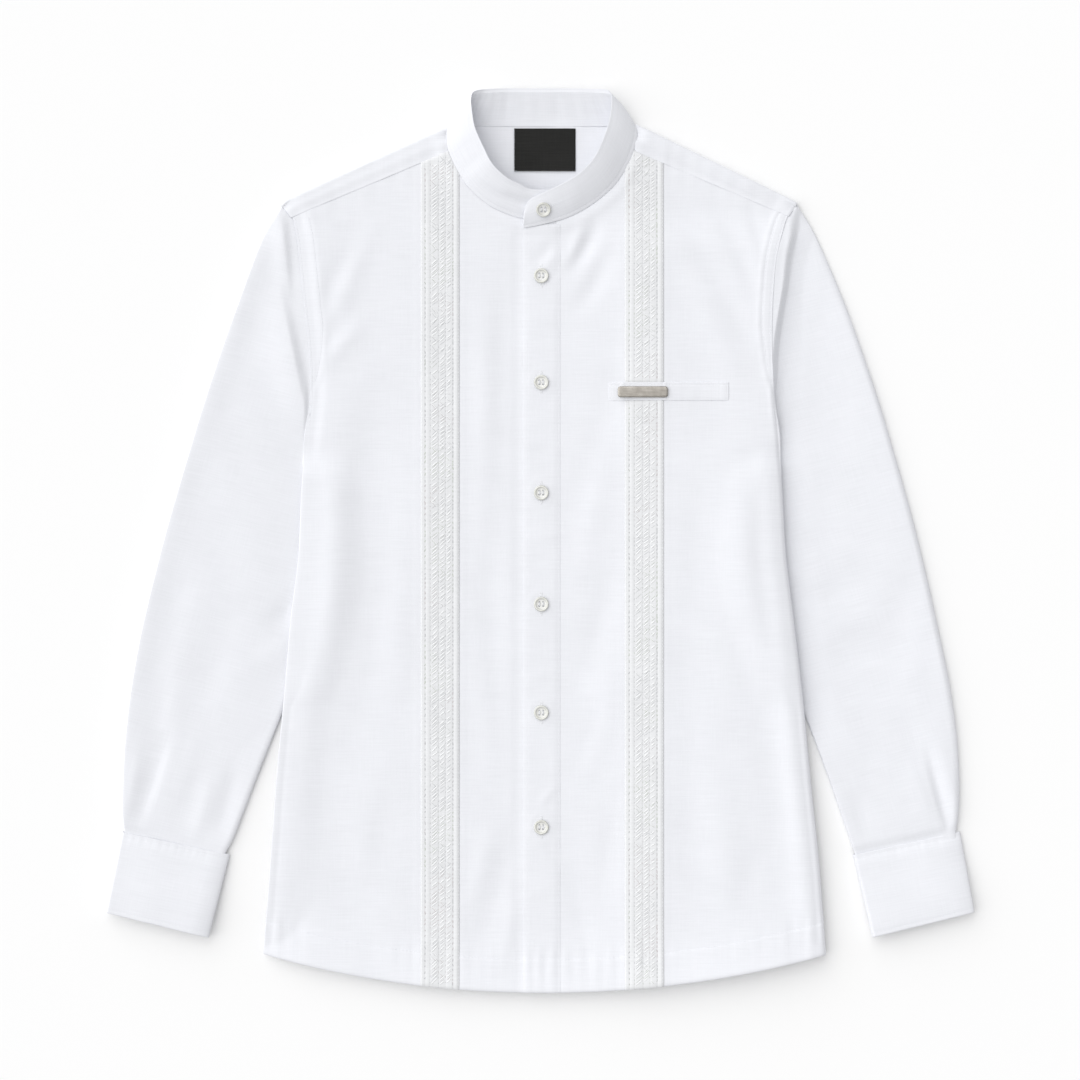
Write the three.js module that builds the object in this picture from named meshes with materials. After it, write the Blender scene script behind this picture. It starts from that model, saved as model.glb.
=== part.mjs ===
// A long-sleeved koko shirt with a band collar, buttoned and laid flat on its back.
// Millimetres. +Z is up from the surface, +Y runs towards the collar, +X towards the wearer's left.
// The origin is under the middle of the laid shirt. Every piece of cloth is a closed wall of its own,
// built from a grid of points on its outer face and a matching grid on its inner face.

import * as THREE from 'three';

const { lerp, clamp, smoothstep } = THREE.MathUtils;

// ---- driving dimensions ----
const CLOTH = 1.2; // one layer of shirting
const STIFF = 1.8; // a layer with its interlining: collar and cuffs
const STRIP = 1.4; // the folded placket and welt
const LACE = 0.8;
const GAP = 0.3; // between neighbouring pieces

const HEM_LOW = -391.7; // lowest point of the hem, at the centre front
const HEM_RISE = 33; // how far the hem climbs at the sides
const HEM_FOLD = 28; // depth of the turned hem
const UNDERARM = 93;
const SLEEVE_OUT = -143; // where the sleeve comes out from under the body
const BACK_SEAM = 262; // the yoke's lower seam on the back

const NECK_HALF = 84; // half width of the neck seam
const NECK_BASE = 356; // height of its side ends
const NECK_DEPTH = 80;
const NECK_POWER = 1.85;
const YOKE_NECK = { x: 81, y: 338 }; // neck end of the front yoke seam
const YOKE_ARM = { x: 213, y: 282 }; // armhole end
const SHOULDER_NECK = { x: 85, y: 360 }; // the shoulder fold
const SHOULDER_ARM = { x: 222, y: 293 };

const PLACKET = { free: -15.7, seam: 16.5 };
const UNDERLAP = 13; // the right front's edge under the placket
const LEFT_EDGE = PLACKET.seam + GAP;
const BAND = { right: { inner: -70.5, outer: -104.4 }, left: { inner: 72.6, outer: 105.8 } };
const WELT = { inner: 58.7, outer: 162.7, low: 121.4, high: 137 };
const BADGE = { x: 88.2, y: 128.7, long: 43.6, wide: 9.6, thick: 1.6 };
const LABEL = { x: 3.3, y: 339.5, wide: 53, tall: 37, thick: 0.6 };
const BUTTON = { radius: 6.4, thick: 2.2, hole: 0.8, offset: 1.6 };
const BUTTON_HEIGHTS = [229.8, 137.2, 41.4, -55.2, -149.4, -248.8];

// Half width of the body at each height, down the armhole seam and then the side.
const OUTLINE = [
  { y: 293, right: 222, left: 222 },
  { y: 282, right: 216.5, left: 214.5 },
  { y: 266, right: 212.5, left: 209 },
  { y: 250, right: 210.5, left: 205 },
  { y: 222, right: 207.5, left: 201.8 },
  { y: 195, right: 204.5, left: 200.3 },
  { y: 162, right: 201.3, left: 200.4 },
  { y: 130, right: 200.4, left: 202 },
  { y: 93, right: 203.5, left: 205 },
  { y: 43, right: 207.5, left: 208.8 },
  { y: -17, right: 210.5, left: 212.5 },
  { y: -58, right: 215.7, left: 217.5 },
  { y: -140, right: 223, left: 227 },
  { y: -204, right: 229, left: 233 },
  { y: -280, right: 234.6, left: 240.8 },
  { y: -358.7, right: 240.6, left: 246.8 },
];

// Sleeve stations from the armhole to the cuff. `bow` is how much of the armhole's curve the line across
// the sleeve still has, and `high` the height of its top layer.
const SLEEVE = {
  right: [
    { outX: 222.8, outY: 292, inX: 203.9, inY: 93, bow: 1, high: 3.1 },
    { outX: 236, outY: 262, inX: 206.6, inY: 79, bow: 0.6, high: 4.6 },
    { outX: 256, outY: 210, inX: 202, inY: 58, bow: 0.35, high: 5.2 },
    { outX: 275, outY: 163, inX: 192, inY: 28, bow: 0.1, high: 5.4 },
    { outX: 290, outY: 118, inX: 188, inY: -5, bow: 0, high: 5.4 },
    { outX: 304, outY: 76, inX: 190, inY: -38, bow: 0, high: 5.4 },
    { outX: 318.5, outY: 28, inX: 198, inY: -74, bow: 0, high: 5.4 },
    { outX: 331, outY: -17, inX: 210, inY: -110, bow: 0, high: 5.4 },
    { outX: 345, outY: -75, inX: 222, inY: -143, bow: 0, high: 5.4 },
    { outX: 354, outY: -124, inX: 235, inY: -176, bow: 0, high: 5.4 },
    { outX: 360, outY: -172, inX: 248, inY: -209, bow: 0, high: 5.4 },
    { outX: 362.5, outY: -215, inX: 260.5, inY: -242, bow: 0, high: 5.6 },
    { outX: 361.5, outY: -240, inX: 268, inY: -261, bow: 0, high: 5.7 },
  ],
  left: [
    { outX: 222.8, outY: 292, inX: 205.4, inY: 93, bow: 1, high: 3.1 },
    { outX: 240, outY: 262, inX: 207.9, inY: 79, bow: 0.6, high: 4.6 },
    { outX: 263, outY: 210, inX: 203.5, inY: 58, bow: 0.35, high: 5.2 },
    { outX: 281, outY: 163, inX: 194, inY: 28, bow: 0.1, high: 5.4 },
    { outX: 296, outY: 118, inX: 190, inY: -5, bow: 0, high: 5.4 },
    { outX: 308, outY: 76, inX: 192, inY: -38, bow: 0, high: 5.4 },
    { outX: 321, outY: 28, inX: 200, inY: -74, bow: 0, high: 5.4 },
    { outX: 332, outY: -17, inX: 213, inY: -110, bow: 0, high: 5.4 },
    { outX: 345, outY: -75, inX: 226, inY: -143, bow: 0, high: 5.4 },
    { outX: 355, outY: -124, inX: 238.5, inY: -176, bow: 0, high: 5.4 },
    { outX: 361.5, outY: -172, inX: 250.5, inY: -209, bow: 0, high: 5.4 },
    { outX: 363.5, outY: -215, inX: 262, inY: -242, bow: 0, high: 5.6 },
    { outX: 362.5, outY: -240, inX: 268.5, inY: -261, bow: 0, high: 5.7 },
  ],
};

// Cuff: its two ends across, the sleeve's end first. It closes round the tucked end of the sleeve.
const CUFF = {
  right: { outX: 362.4, outY: -253, inX: 270.4, inY: -273, farOutX: 376, farOutY: -322, farInX: 288, farInY: -344 },
  left: { outX: 364.2, outY: -253, inX: 270.8, inY: -273, farOutX: 376, farOutY: -322, farInX: 287, farInY: -343.5 },
};
const CUFF_HIGH = 7.4;
const TUCK_IN = 6; // how far the sleeve's end reaches into its cuff

// The collar, from its top-lapping end at the centre front round by the wearer's left to the end beneath.
// Each row gives the seam edge and the top edge.
const COLLAR = [
  { x: -15.3, y: 271.4, z: 8.6, topX: -14.6, topY: 291, topZ: 20.5 },
  { x: -10, y: 271.9, z: 8.6, topX: -10.5, topY: 297.6, topZ: 25 },
  { x: 5, y: 275, z: 8.6, topX: 1, topY: 301.6, topZ: 27 },
  { x: 25, y: 281, z: 8, topX: 17.5, topY: 308, topZ: 26.8 },
  { x: 45, y: 292, z: 7.6, topX: 33, topY: 317, topZ: 26 },
  { x: 62.6, y: 307, z: 7.8, topX: 45.5, topY: 330, topZ: 25 },
  { x: 73, y: 321.5, z: 8, topX: 53, topY: 345, topZ: 23.5 },
  { x: 80.6, y: 339, z: 7.8, topX: 58.5, topY: 361, topZ: 22 },
  { x: 83.6, y: 352, z: 7, topX: 60.8, topY: 375, topZ: 20.5 },
  { x: 83.2, y: 358.5, z: 4, topX: 61, topY: 384.5, topZ: 18.5 },
  { x: 78, y: 361.2, z: 1.9, topX: 57.5, topY: 390, topZ: 17 },
  { x: 58, y: 360.2, z: 1.8, topX: 46, topY: 391.2, topZ: 15.5 },
  { x: 30, y: 360, z: 1.8, topX: 26, topY: 391.7, topZ: 14.5 },
  { x: 0, y: 360, z: 1.8, topX: 0, topY: 391.7, topZ: 14 },
  { x: -30, y: 360, z: 1.8, topX: -26, topY: 391.7, topZ: 14.5 },
  { x: -58, y: 360.2, z: 1.8, topX: -46, topY: 391, topZ: 15.5 },
  { x: -78, y: 361.2, z: 1.9, topX: -57.5, topY: 389, topZ: 17 },
  { x: -83.2, y: 358.5, z: 4, topX: -60.5, topY: 383, topZ: 18.5 },
  { x: -83.6, y: 352, z: 7, topX: -60, topY: 373, topZ: 20.5 },
  { x: -80.6, y: 339, z: 7.8, topX: -57.2, topY: 357, topZ: 22 },
  { x: -73, y: 321.5, z: 8, topX: -50, topY: 340, topZ: 23.5 },
  { x: -62.6, y: 306, z: 7.8, topX: -42, topY: 325, topZ: 24.5 },
  { x: -46, y: 291.5, z: 7.2, topX: -29.5, topY: 313.5, topZ: 24.8 },
  { x: -29, y: 283.2, z: 6.9, topX: -18.5, topY: 308.2, topZ: 24.6 },
  { x: -13.5, y: 279.2, z: 6.8, topX: -8, topY: 303.9, topZ: 24 },
  { x: 11, y: 279.5, z: 6.8, topX: 11, topY: 303.8, topZ: 22.5 },
];

// The largest soft folds: a line from its upper end to its lower end, the width each side and the rise.
const FRONT_FOLDS = [
  { x0: -140, y0: 60, x1: -160, y1: -220, wide: 34, rise: -0.8 },
  { x0: -36, y0: 225, x1: -40, y1: -140, wide: 26, rise: 0.8 },
  { x0: -60, y0: -330, x1: -28, y1: -180, wide: 24, rise: -0.7 },
  { x0: 46, y0: 180, x1: 40, y1: -60, wide: 26, rise: 0.7 },
  { x0: 150, y0: 60, x1: 175, y1: -240, wide: 30, rise: 0.8 },
  { x0: 125, y0: -60, x1: 130, y1: -300, wide: 26, rise: -0.7 },
];

// On the sleeves x is the distance from the middle of the shirt. The last of each runs into the cuff's pleat.
const SLEEVE_FOLDS = {
  right: [
    { x0: 238, y0: 226, x1: 318, y1: -30, wide: 20, rise: 0.6 },
    { x0: 222, y0: -62, x1: 262, y1: -96, wide: 20, rise: -0.7 },
    { x0: 330, y0: -120, x1: 342, y1: -244, wide: 14, rise: -0.8 },
  ],
  left: [
    { x0: 236, y0: 232, x1: 300, y1: 20, wide: 22, rise: 0.6 },
    { x0: 232, y0: -96, x1: 268, y1: -138, wide: 20, rise: -0.7 },
    { x0: 330, y0: -160, x1: 352, y1: -246, wide: 13, rise: -0.9 },
  ],
};

function finish(color, roughness, metalness = 0) {
  return new THREE.MeshStandardMaterial({ color, roughness, metalness });
}
const shirting = finish(0xf1f3f8, 0.9);
const lace = finish(0xeeeee8, 0.95);
const pearl = finish(0xc9cbbf, 0.3);
const nickel = finish(0xb5b0a6, 0.35, 1);
const woven = finish(0x0c0c0e, 0.85);

const shirt = new THREE.Group();

// ---- helpers ----

const point = (x, y, z) => new THREE.Vector3(x, y, z);
const range = (count) => Array.from({ length: count }, (_, i) => i);

// Reads a named column of a table whose rows run down in y.
function atHeight(table, column, y) {
  const next = table.findIndex((row) => row.y <= y);
  if (next === 0) return table[0][column];
  if (next < 0) return table[table.length - 1][column];
  const [a, b] = [table[next - 1], table[next]];
  return lerp(a[column], b[column], (a.y - y) / (a.y - b.y));
}

// A closed wall between two grids of points. `kept` drops cells, and `round` joins the last column
// to the first.
function wall(name, outer, inner, material, { kept = () => true, round = false } = {}) {
  const rows = outer.length;
  const columns = outer[0].length;
  const cellsAcross = round ? columns : columns - 1;
  const positions = [...outer.flat(), ...inner.flat()].flatMap((p) => p.toArray());
  const shift = rows * columns;
  const index = [];
  const at = (r, c) => r * columns + (c % columns);
  const has = (r, c) => {
    const across = round ? (c + cellsAcross) % cellsAcross : c;
    return r >= 0 && r < rows - 1 && across >= 0 && across < cellsAcross && kept(r, across);
  };
  const rim = (a, b) => index.push(b, a, a + shift, b, a + shift, b + shift);
  for (let r = 0; r < rows - 1; r += 1) {
    for (let c = 0; c < cellsAcross; c += 1) {
      if (!has(r, c)) continue;
      const [a, b, d, e] = [at(r, c), at(r, c + 1), at(r + 1, c + 1), at(r + 1, c)];
      index.push(a, b, d, a, d, e);
      index.push(a + shift, d + shift, b + shift, a + shift, e + shift, d + shift);
      if (!has(r - 1, c)) rim(a, b);
      if (!has(r + 1, c)) rim(d, e);
      if (!has(r, c - 1)) rim(e, a);
      if (!has(r, c + 1)) rim(b, d);
    }
  }
  const geometry = new THREE.BufferGeometry();
  geometry.setAttribute('position', new THREE.Float32BufferAttribute(positions, 3));
  geometry.setIndex(volume(positions, index) < 0 ? index.reverse() : index);
  const piece = new THREE.Mesh(geometry, material);
  piece.name = name;
  shirt.add(piece);
  return piece;
}

function volume(positions, index) {
  const corner = (i) => new THREE.Vector3().fromArray(positions, index[i] * 3);
  let sum = 0;
  for (let i = 0; i < index.length; i += 3) sum += corner(i).dot(corner(i + 1).cross(corner(i + 2)));
  return sum / 6;
}

const raised = (grid, by) => grid.map((row) => row.map((p) => point(p.x, p.y, p.z + by)));

// A strip laid on a panel: its points come from the panel's, moved out.
function onPanel(name, grid, thick, material) {
  return wall(name, raised(grid, GAP + thick), raised(grid, GAP), material);
}

// ---- outlines ----

const sideOf = (x) => (x < 0 ? 'right' : 'left');
const edgeX = (x, y) => atHeight(OUTLINE, sideOf(x), y);
const hemY = (x) => HEM_LOW + HEM_RISE * (x / edgeX(x, HEM_LOW)) ** 2;

function neckY(x) {
  const share = clamp(Math.abs(x) / NECK_HALF, 0, 1) ** NECK_POWER;
  return NECK_BASE - NECK_DEPTH * (1 - share) ** (1 / NECK_POWER);
}

function yokeSeamY(x) {
  return lerp(YOKE_NECK.y, YOKE_ARM.y, (Math.abs(x) - YOKE_NECK.x) / (YOKE_ARM.x - YOKE_NECK.x));
}

// The sleeve head lies under the front's armhole edge, and meets the shoulder and the underarm beside it.
const HEAD = { under: 8.4, beside: 0.4, low: UNDERARM + 8, full: UNDERARM + 34, high: 256 };
function headX(x, y) {
  const under = smoothstep(y, HEAD.low, HEAD.full) * (1 - smoothstep(y, HEAD.high, YOKE_ARM.y - 1));
  return edgeX(x, y) + HEAD.beside - HEAD.under * under;
}

// ---- heights ----

// How far the lower layer is lifted: over the tucked sleeve, along the curled sides and at the hem.
const LIFT = { edge: 4.6, over: 4.2, run: 26, curl: 6, sleeve: 21, hem: 4, hemRun: 62 };
const TUCKED_FROM = 76; // below this height the back lies over the sleeve
function liftedBand(y) {
  const along = clamp((TUCKED_FROM - y) / (TUCKED_FROM - SLEEVE_OUT), 0, 1);
  return LIFT.curl + LIFT.sleeve * Math.sin(Math.PI * along) ** 0.7;
}

function sideLift(x, y) {
  if (y > TUCKED_FROM) return 0;
  const fromEdge = edgeX(x, y) - Math.abs(x);
  const band = liftedBand(y);
  if (fromEdge < band) return lerp(LIFT.edge, LIFT.over, fromEdge / band);
  return LIFT.over * clamp(1 - (fromEdge - band) / LIFT.run, 0, 1);
}

function lift(x, y) {
  const fromHem = clamp((y - hemY(x)) / LIFT.hemRun, 0, 1);
  return Math.max(sideLift(x, y), LIFT.hem * (1 - fromHem) ** 2);
}

function foldRise(folds, x, y) {
  return folds.reduce((sum, f) => {
    const along = clamp(((y - f.y0) * (f.y1 - f.y0)) / (f.y1 - f.y0) ** 2, 0, 1);
    const off = Math.abs(x - lerp(f.x0, f.x1, along)) / f.wide;
    const ends = Math.sin(Math.PI * along);
    return sum + f.rise * ends * Math.max(0, 1 - off * off) ** 2;
  }, 0);
}

// Top face of the fronts. They lie on the back along the sides and clear the sleeve head at the armhole.
const LOFT = { middle: 1.7, side: 0.2, armhole: 2.4, neck: 0.8, edgeRun: 40, neckRun: 150, neckY: 330 };
function frontTop(x, y) {
  const fromEdge = clamp((edgeX(x, y) - Math.abs(x)) / LOFT.edgeRun, 0, 1);
  const atEdge = y > TUCKED_FROM ? LOFT.armhole : LOFT.side;
  const neck = LOFT.neck * (1 - clamp(Math.hypot(x, y - LOFT.neckY) / LOFT.neckRun, 0, 1));
  const onBack = lift(x, y) + 2 * CLOTH + GAP;
  return onBack + lerp(atEdge, LOFT.middle, fromEdge) + neck + foldRise(FRONT_FOLDS, x, y);
}

// ---- body panels ----

// Constant heights of the body's rows, above the two hem rows and below the rows that run up to the seams.
const LEVELS = [-300, -255, -210, -165, -120, -75, -30, 12, 48, TUCKED_FROM, UNDERARM, WELT.low, WELT.high,
  170, 203, 232];
const TOP_ROWS = 3;
const BODY_ROWS = 2 + LEVELS.length + TOP_ROWS;
const topLevel = LEVELS[LEVELS.length - 1];

// A column is straight, or follows the side at a share of the way from the last straight column.
const straight = (x) => () => x;
const footX = (side, y) => {
  if (y > TUCKED_FROM) return side * WELT.outer;
  return side * (edgeX(side, y) - liftedBand(y) - LIFT.run);
};
const foot = (side) => (y) => footX(side, y);
const before = (side, from) => (y) => lerp(from, footX(side, y), 0.5);
const over = (side, edge) => (y) => {
  if (y > TUCKED_FROM) return lerp(footX(side, y), edge(y), 0.6);
  return side * (edgeX(side, y) - liftedBand(y));
};
const frontEdge = (side) => (y) => side * edgeX(side, y);
const backEdge = (side) => (y) => side * (y > TUCKED_FROM ? headX(side, y) - 3 * GAP : edgeX(side, y));

// Points of a panel: `topY` gives the height at which each column ends.
function panelGrid(columns, topY, height) {
  return range(BODY_ROWS).map((r) => columns.map((column) => {
    const endY = topY(column);
    const level = LEVELS[r - 2];
    let y = level;
    if (r < 2) y = hemY(column(HEM_LOW)) + r * HEM_FOLD;
    else if (level === undefined) y = lerp(topLevel, endY, (r + 1 - 2 - LEVELS.length) / TOP_ROWS);
    const x = column(y);
    return point(x, y, height(x, y));
  }));
}

const NECK_UNDER = 2.5; // how far the fronts run on under the collar's seam edge
function frontEnd(column) {
  if (Math.abs(column(YOKE_ARM.y)) < YOKE_NECK.x) return neckY(column(YOKE_ARM.y)) + NECK_UNDER;
  // a column by the armhole leans, so its meeting with the seam is closed in on
  return range(6).reduce((y) => yokeSeamY(column(y)) - GAP, YOKE_ARM.y);
}

const rightColumns = [frontEdge(-1), over(-1, frontEdge(-1)), foot(-1), before(-1, BAND.right.outer),
  straight(BAND.right.outer), straight(-YOKE_NECK.x), straight(BAND.right.inner), straight(-50),
  straight(-32), straight(PLACKET.free), straight(0), straight(UNDERLAP)];
const leftColumns = [straight(LEFT_EDGE), straight(36), straight(WELT.inner), straight(BAND.left.inner),
  straight(YOKE_NECK.x), straight(BAND.left.outer), before(1, BAND.left.outer), foot(1),
  over(1, frontEdge(1)), frontEdge(1)];
const backColumns = [backEdge(-1), over(-1, backEdge(-1)), foot(-1), before(-1, BAND.right.outer),
  straight(BAND.right.outer), straight(-36), straight(36), straight(BAND.left.outer),
  before(1, BAND.left.outer), foot(1), over(1, backEdge(1)), backEdge(1)];

const frontRight = panelGrid(rightColumns, frontEnd, frontTop);
const frontLeft = panelGrid(leftColumns, frontEnd, frontTop);
wall('front_right', frontRight, raised(frontRight, -CLOTH), shirting);
wall('front_left', frontLeft, raised(frontLeft, -CLOTH), shirting);

const backUnder = panelGrid(backColumns, () => BACK_SEAM - GAP, lift);
wall('back', raised(backUnder, CLOTH), backUnder, shirting);

// ---- strips on the fronts ----

const columnsOf = (grid, from, to) => grid.map((row) => row.slice(from, to + 1));
const columnAt = (columns, x) => columns.findIndex((column) => Math.abs(column(0) - x) < 0.01);

// The placket covers the right front's last columns and runs on to its seam with the left front.
const PLACKET_TOP = 274.5; // under the collar's lapping end
const underPlacket = columnsOf(frontRight, columnAt(rightColumns, PLACKET.free), rightColumns.length - 1)
  .map((row, r) => {
    const trimmed = r === BODY_ROWS - 1 ? row.map((p) => point(p.x, Math.min(p.y, PLACKET_TOP), p.z)) : row;
    const last = trimmed[trimmed.length - 1];
    return [...trimmed, point(PLACKET.seam, last.y, last.z)];
  });
onPanel('placket', underPlacket, STRIP, shirting);

const rightBand = columnsOf(frontRight, columnAt(rightColumns, BAND.right.outer),
  columnAt(rightColumns, BAND.right.inner));
onPanel('band_right', rightBand, LACE, lace);

// The left band stops at the welt and goes on below it.
const weltRow = 2 + LEVELS.indexOf(WELT.low);
const leftBand = columnsOf(frontLeft, columnAt(leftColumns, BAND.left.inner),
  columnAt(leftColumns, BAND.left.outer));
const trimmedBy = (grid, row, dy) => grid.map((points, r) => (
  r === row ? points.map((p) => point(p.x, p.y + dy, p.z)) : points));
onPanel('band_left_lower', trimmedBy(leftBand.slice(0, weltRow + 1), weltRow, -GAP), LACE, lace);
onPanel('band_left_upper', trimmedBy(leftBand.slice(weltRow + 1), 0, GAP), LACE, lace);

const weltGrid = columnsOf(frontLeft, columnAt(leftColumns, WELT.inner), leftColumns.length - 3)
  .slice(weltRow, weltRow + 2);
onPanel('pocket_welt', weltGrid, STRIP, shirting);

// ---- yoke ----

// Folded over the shoulders: strips in front, and one flat part behind that runs across under the neck.
function yoke() {
  const acrossShare = [0, 0.22, 0.5, 0.78, 1];
  const neckEdge = { y: 361.5, columns: [-56, 0, 56] };
  const turn = 2.6; // reach of the rounded fold
  const fold = new THREE.Vector2().subVectors(SHOULDER_ARM, SHOULDER_NECK).normalize();
  const inward = new THREE.Vector2(fold.y, -fold.x); // from the fold towards the hem
  const shoulderColumn = (side) => (t) => {
    const fx = lerp(SHOULDER_NECK.x, SHOULDER_ARM.x, t);
    const fy = lerp(SHOULDER_NECK.y, SHOULDER_ARM.y, t);
    const sx = lerp(YOKE_NECK.x, YOKE_ARM.x, t);
    const high = frontTop(side * sx, yokeSeamY(sx));
    // one face of the folded cloth, `deep` inside the outer one
    const face = (deep) => {
      const front = (share) => point(side * lerp(sx, fx, share), lerp(yokeSeamY(sx), fy, share), high - deep);
      const away = (by, z) => point(side * (fx + inward.x * by), fy + inward.y * by, z);
      const behind = (y) => point(side * lerp(SHOULDER_NECK.x, headX(side, y) - HEAD.beside, t), y, deep);
      return [front(0), front(0.5), away(turn + 0.8 * deep, high - deep - 0.3), away(1.1 * deep, high / 2),
        away(turn + 0.8 * deep, deep), behind(lerp(fy - turn, BACK_SEAM, 0.5)), behind(BACK_SEAM)];
    };
    return { outer: face(0), inner: face(CLOTH) };
  };
  // across the neck only the last three rows exist
  const middleColumn = (x) => {
    const face = (z) => range(7).map((r) => point(x, lerp(neckEdge.y, BACK_SEAM, Math.max(0, r - 4) / 2), z));
    return { outer: face(0), inner: face(CLOTH) };
  };
  const columns = [
    ...acrossShare.toReversed().map(shoulderColumn(-1)),
    ...neckEdge.columns.map(middleColumn),
    ...acrossShare.map(shoulderColumn(1)),
  ];
  const rowsOf = (face) => range(7).map((r) => columns.map((column) => column[face][r]));
  const shoulderCells = acrossShare.length - 1;
  const kept = (r, c) => r >= 4 || c < shoulderCells || c >= columns.length - 1 - shoulderCells;
  return wall('yoke', rowsOf('outer'), rowsOf('inner'), shirting, { kept });
}
yoke();

// ---- sleeves and cuffs ----

// Shares across a flattened tube, from its outer fold to its inner one, for the top and the under layer.
const OVER = [0.035, 0.1, 0.2, 0.32, 0.44, 0.56, 0.68, 0.8, 0.9, 0.965];
const UNDER = [0.95, 0.72, 0.5, 0.28, 0.05];
const ROUNDED = { least: 0.8, gain: 2.2 }; // the top layer's height just inside the folds

// One ring of a flattened tube. `place` gives x and y at a share across, and `top` the height there.
function ring(place, top, base, thick, wide) {
  const inset = (share) => clamp(share, (thick * 1.6) / wide, 1 - (thick * 1.6) / wide);
  const outer = [];
  const inner = [];
  const put = (list, share, z) => {
    const [x, y] = place(share);
    list.push(point(x, y, z));
  };
  const rounded = (share) => Math.min(1, ROUNDED.least + ROUNDED.gain * Math.min(share, 1 - share));
  const topAt = (share) => lerp(base, top(...place(share)), rounded(share));
  const sidePoint = (share) => {
    const middle = (base + topAt(share)) / 2;
    put(outer, share, middle);
    put(inner, clamp(share, thick / wide, 1 - thick / wide), middle);
  };
  sidePoint(0);
  OVER.forEach((share) => {
    put(outer, share, topAt(share));
    put(inner, inset(share), topAt(share) - thick);
  });
  sidePoint(1);
  UNDER.forEach((share) => {
    put(outer, share, base);
    put(inner, inset(share), base + thick);
  });
  return { outer, inner };
}

function tube(name, rings) {
  return wall(name, rings.map((r) => r.outer), rings.map((r) => r.inner), shirting, { round: true });
}

function sleeve(side) {
  const name = side < 0 ? 'right' : 'left';
  const stations = SLEEVE[name];
  const first = stations[0];
  const rings = stations.map((row) => {
    const wide = Math.hypot(row.outX - row.inX, row.outY - row.inY);
    const place = (share) => {
      const headY = lerp(first.outY, first.inY, share);
      const bowed = headX(side, headY) - lerp(first.outX, first.inX, share);
      const x = lerp(row.outX, row.inX, share) + row.bow * bowed * Math.sin(Math.PI * share) ** 0.2;
      return [side * x, lerp(row.outY, row.inY, share)];
    };
    // low where the body lies over it
    const top = (x, y) => {
      const clear = y < SLEEVE_OUT - 25 ? 1 : smoothstep(Math.abs(x) - edgeX(x, y), 3, 30);
      return lerp(first.high, row.high + foldRise(SLEEVE_FOLDS[name], Math.abs(x), y), clear);
    };
    return ring(place, top, 0, CLOTH, wide);
  });
  // the end is narrowed and lies between the cuff's layers
  const cuff = CUFF[name];
  const mouth = cuffAcross(cuff, side, 0);
  const far = cuffAcross(cuff, side, 1);
  const base = STIFF + GAP;
  const end = (along) => {
    const place = (share) => {
      const [x, y] = mouth(lerp(0.04, 0.96, share));
      const [farX, farY] = far(share);
      const reach = along / Math.hypot(farX - x, farY - y);
      return [lerp(x, farX, reach), lerp(y, farY, reach)];
    };
    return ring(place, () => CUFF_HIGH - STIFF - GAP, base, CLOTH, 86);
  };
  rings.push(end(-1), end(TUCK_IN));
  return tube(`sleeve_${name}`, rings);
}

// The line across a cuff, at a share of the way from its mouth at the sleeve to its free end.
function cuffAcross(row, side, along) {
  return (share) => [
    side * lerp(lerp(row.outX, row.inX, share), lerp(row.farOutX, row.farInX, share), along),
    lerp(lerp(row.outY, row.inY, share), lerp(row.farOutY, row.farInY, share), along),
  ];
}

function cuff(side) {
  const name = side < 0 ? 'right' : 'left';
  const wide = Math.hypot(CUFF[name].outX - CUFF[name].inX, CUFF[name].outY - CUFF[name].inY);
  const rings = [0, 0.5, 1].map((along) => (
    ring(cuffAcross(CUFF[name], side, along), () => CUFF_HIGH, 0, STIFF, wide)));
  return tube(`cuff_${name}`, rings);
}
[-1, 1].forEach((side) => {
  sleeve(side);
  cuff(side);
});

// ---- collar ----

// A band that leans in at the front and the sides, and back behind the neck.
const COLLAR_BULGE = 1.2;
function collar() {
  const curve = (points) => new THREE.CatmullRomCurve3(points, false, 'centripetal');
  const seam = curve(COLLAR.map((row) => point(row.x, row.y, row.z)));
  const top = curve(COLLAR.map((row) => point(row.topX, row.topY, row.topZ)));
  const steps = 2 * (COLLAR.length - 1);
  const outward = (t) => {
    const along = seam.getTangent(t).add(top.getTangent(t));
    const up = top.getPoint(t).sub(seam.getPoint(t));
    return along.cross(up).normalize();
  };
  const rows = (depth) => [0, 0.5, 1].map((up) => range(steps + 1).map((i) => {
    const t = i / steps;
    const p = seam.getPoint(t).lerp(top.getPoint(t), up);
    return p.addScaledVector(outward(t), COLLAR_BULGE * Math.sin(Math.PI * up) - depth);
  }));
  return wall('collar', rows(0), rows(STIFF), shirting);
}
collar();

// ---- hard pieces and the label ----

function extruded(name, shape, thick, material) {
  const geometry = new THREE.ExtrudeGeometry(shape, { depth: thick, bevelEnabled: false, curveSegments: 8 });
  const piece = new THREE.Mesh(geometry, material);
  piece.name = name;
  shirt.add(piece);
  return piece;
}

function circle(x, y, radius, sides) {
  return range(sides).map((i) => {
    const angle = (2 * Math.PI * i) / sides;
    return new THREE.Vector2(x + radius * Math.cos(angle), y + radius * Math.sin(angle));
  });
}

// Four-hole button, lying in its own XY plane.
function button(name) {
  const disc = new THREE.Shape(circle(0, 0, BUTTON.radius, 24));
  [[1, 1], [-1, 1], [-1, -1], [1, -1]].forEach(([x, y]) => {
    disc.holes.push(new THREE.Path(circle(x * BUTTON.offset, y * BUTTON.offset, BUTTON.hole, 6).reverse()));
  });
  return extruded(name, disc, BUTTON.thick, pearl);
}

// The collar's button sits square on the leaning band, and the others lie on the placket.
const collarButton = button('button_1');
collarButton.position.set(2, 288.1, 19.9);
collarButton.lookAt(collarButton.position.clone().add(point(0.08, -0.56, 0.83)));
BUTTON_HEIGHTS.forEach((y, i) => {
  button(`button_${i + 2}`).position.set(0.2, y, frontTop(0, y) + 2 * GAP + STRIP);
});

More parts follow.
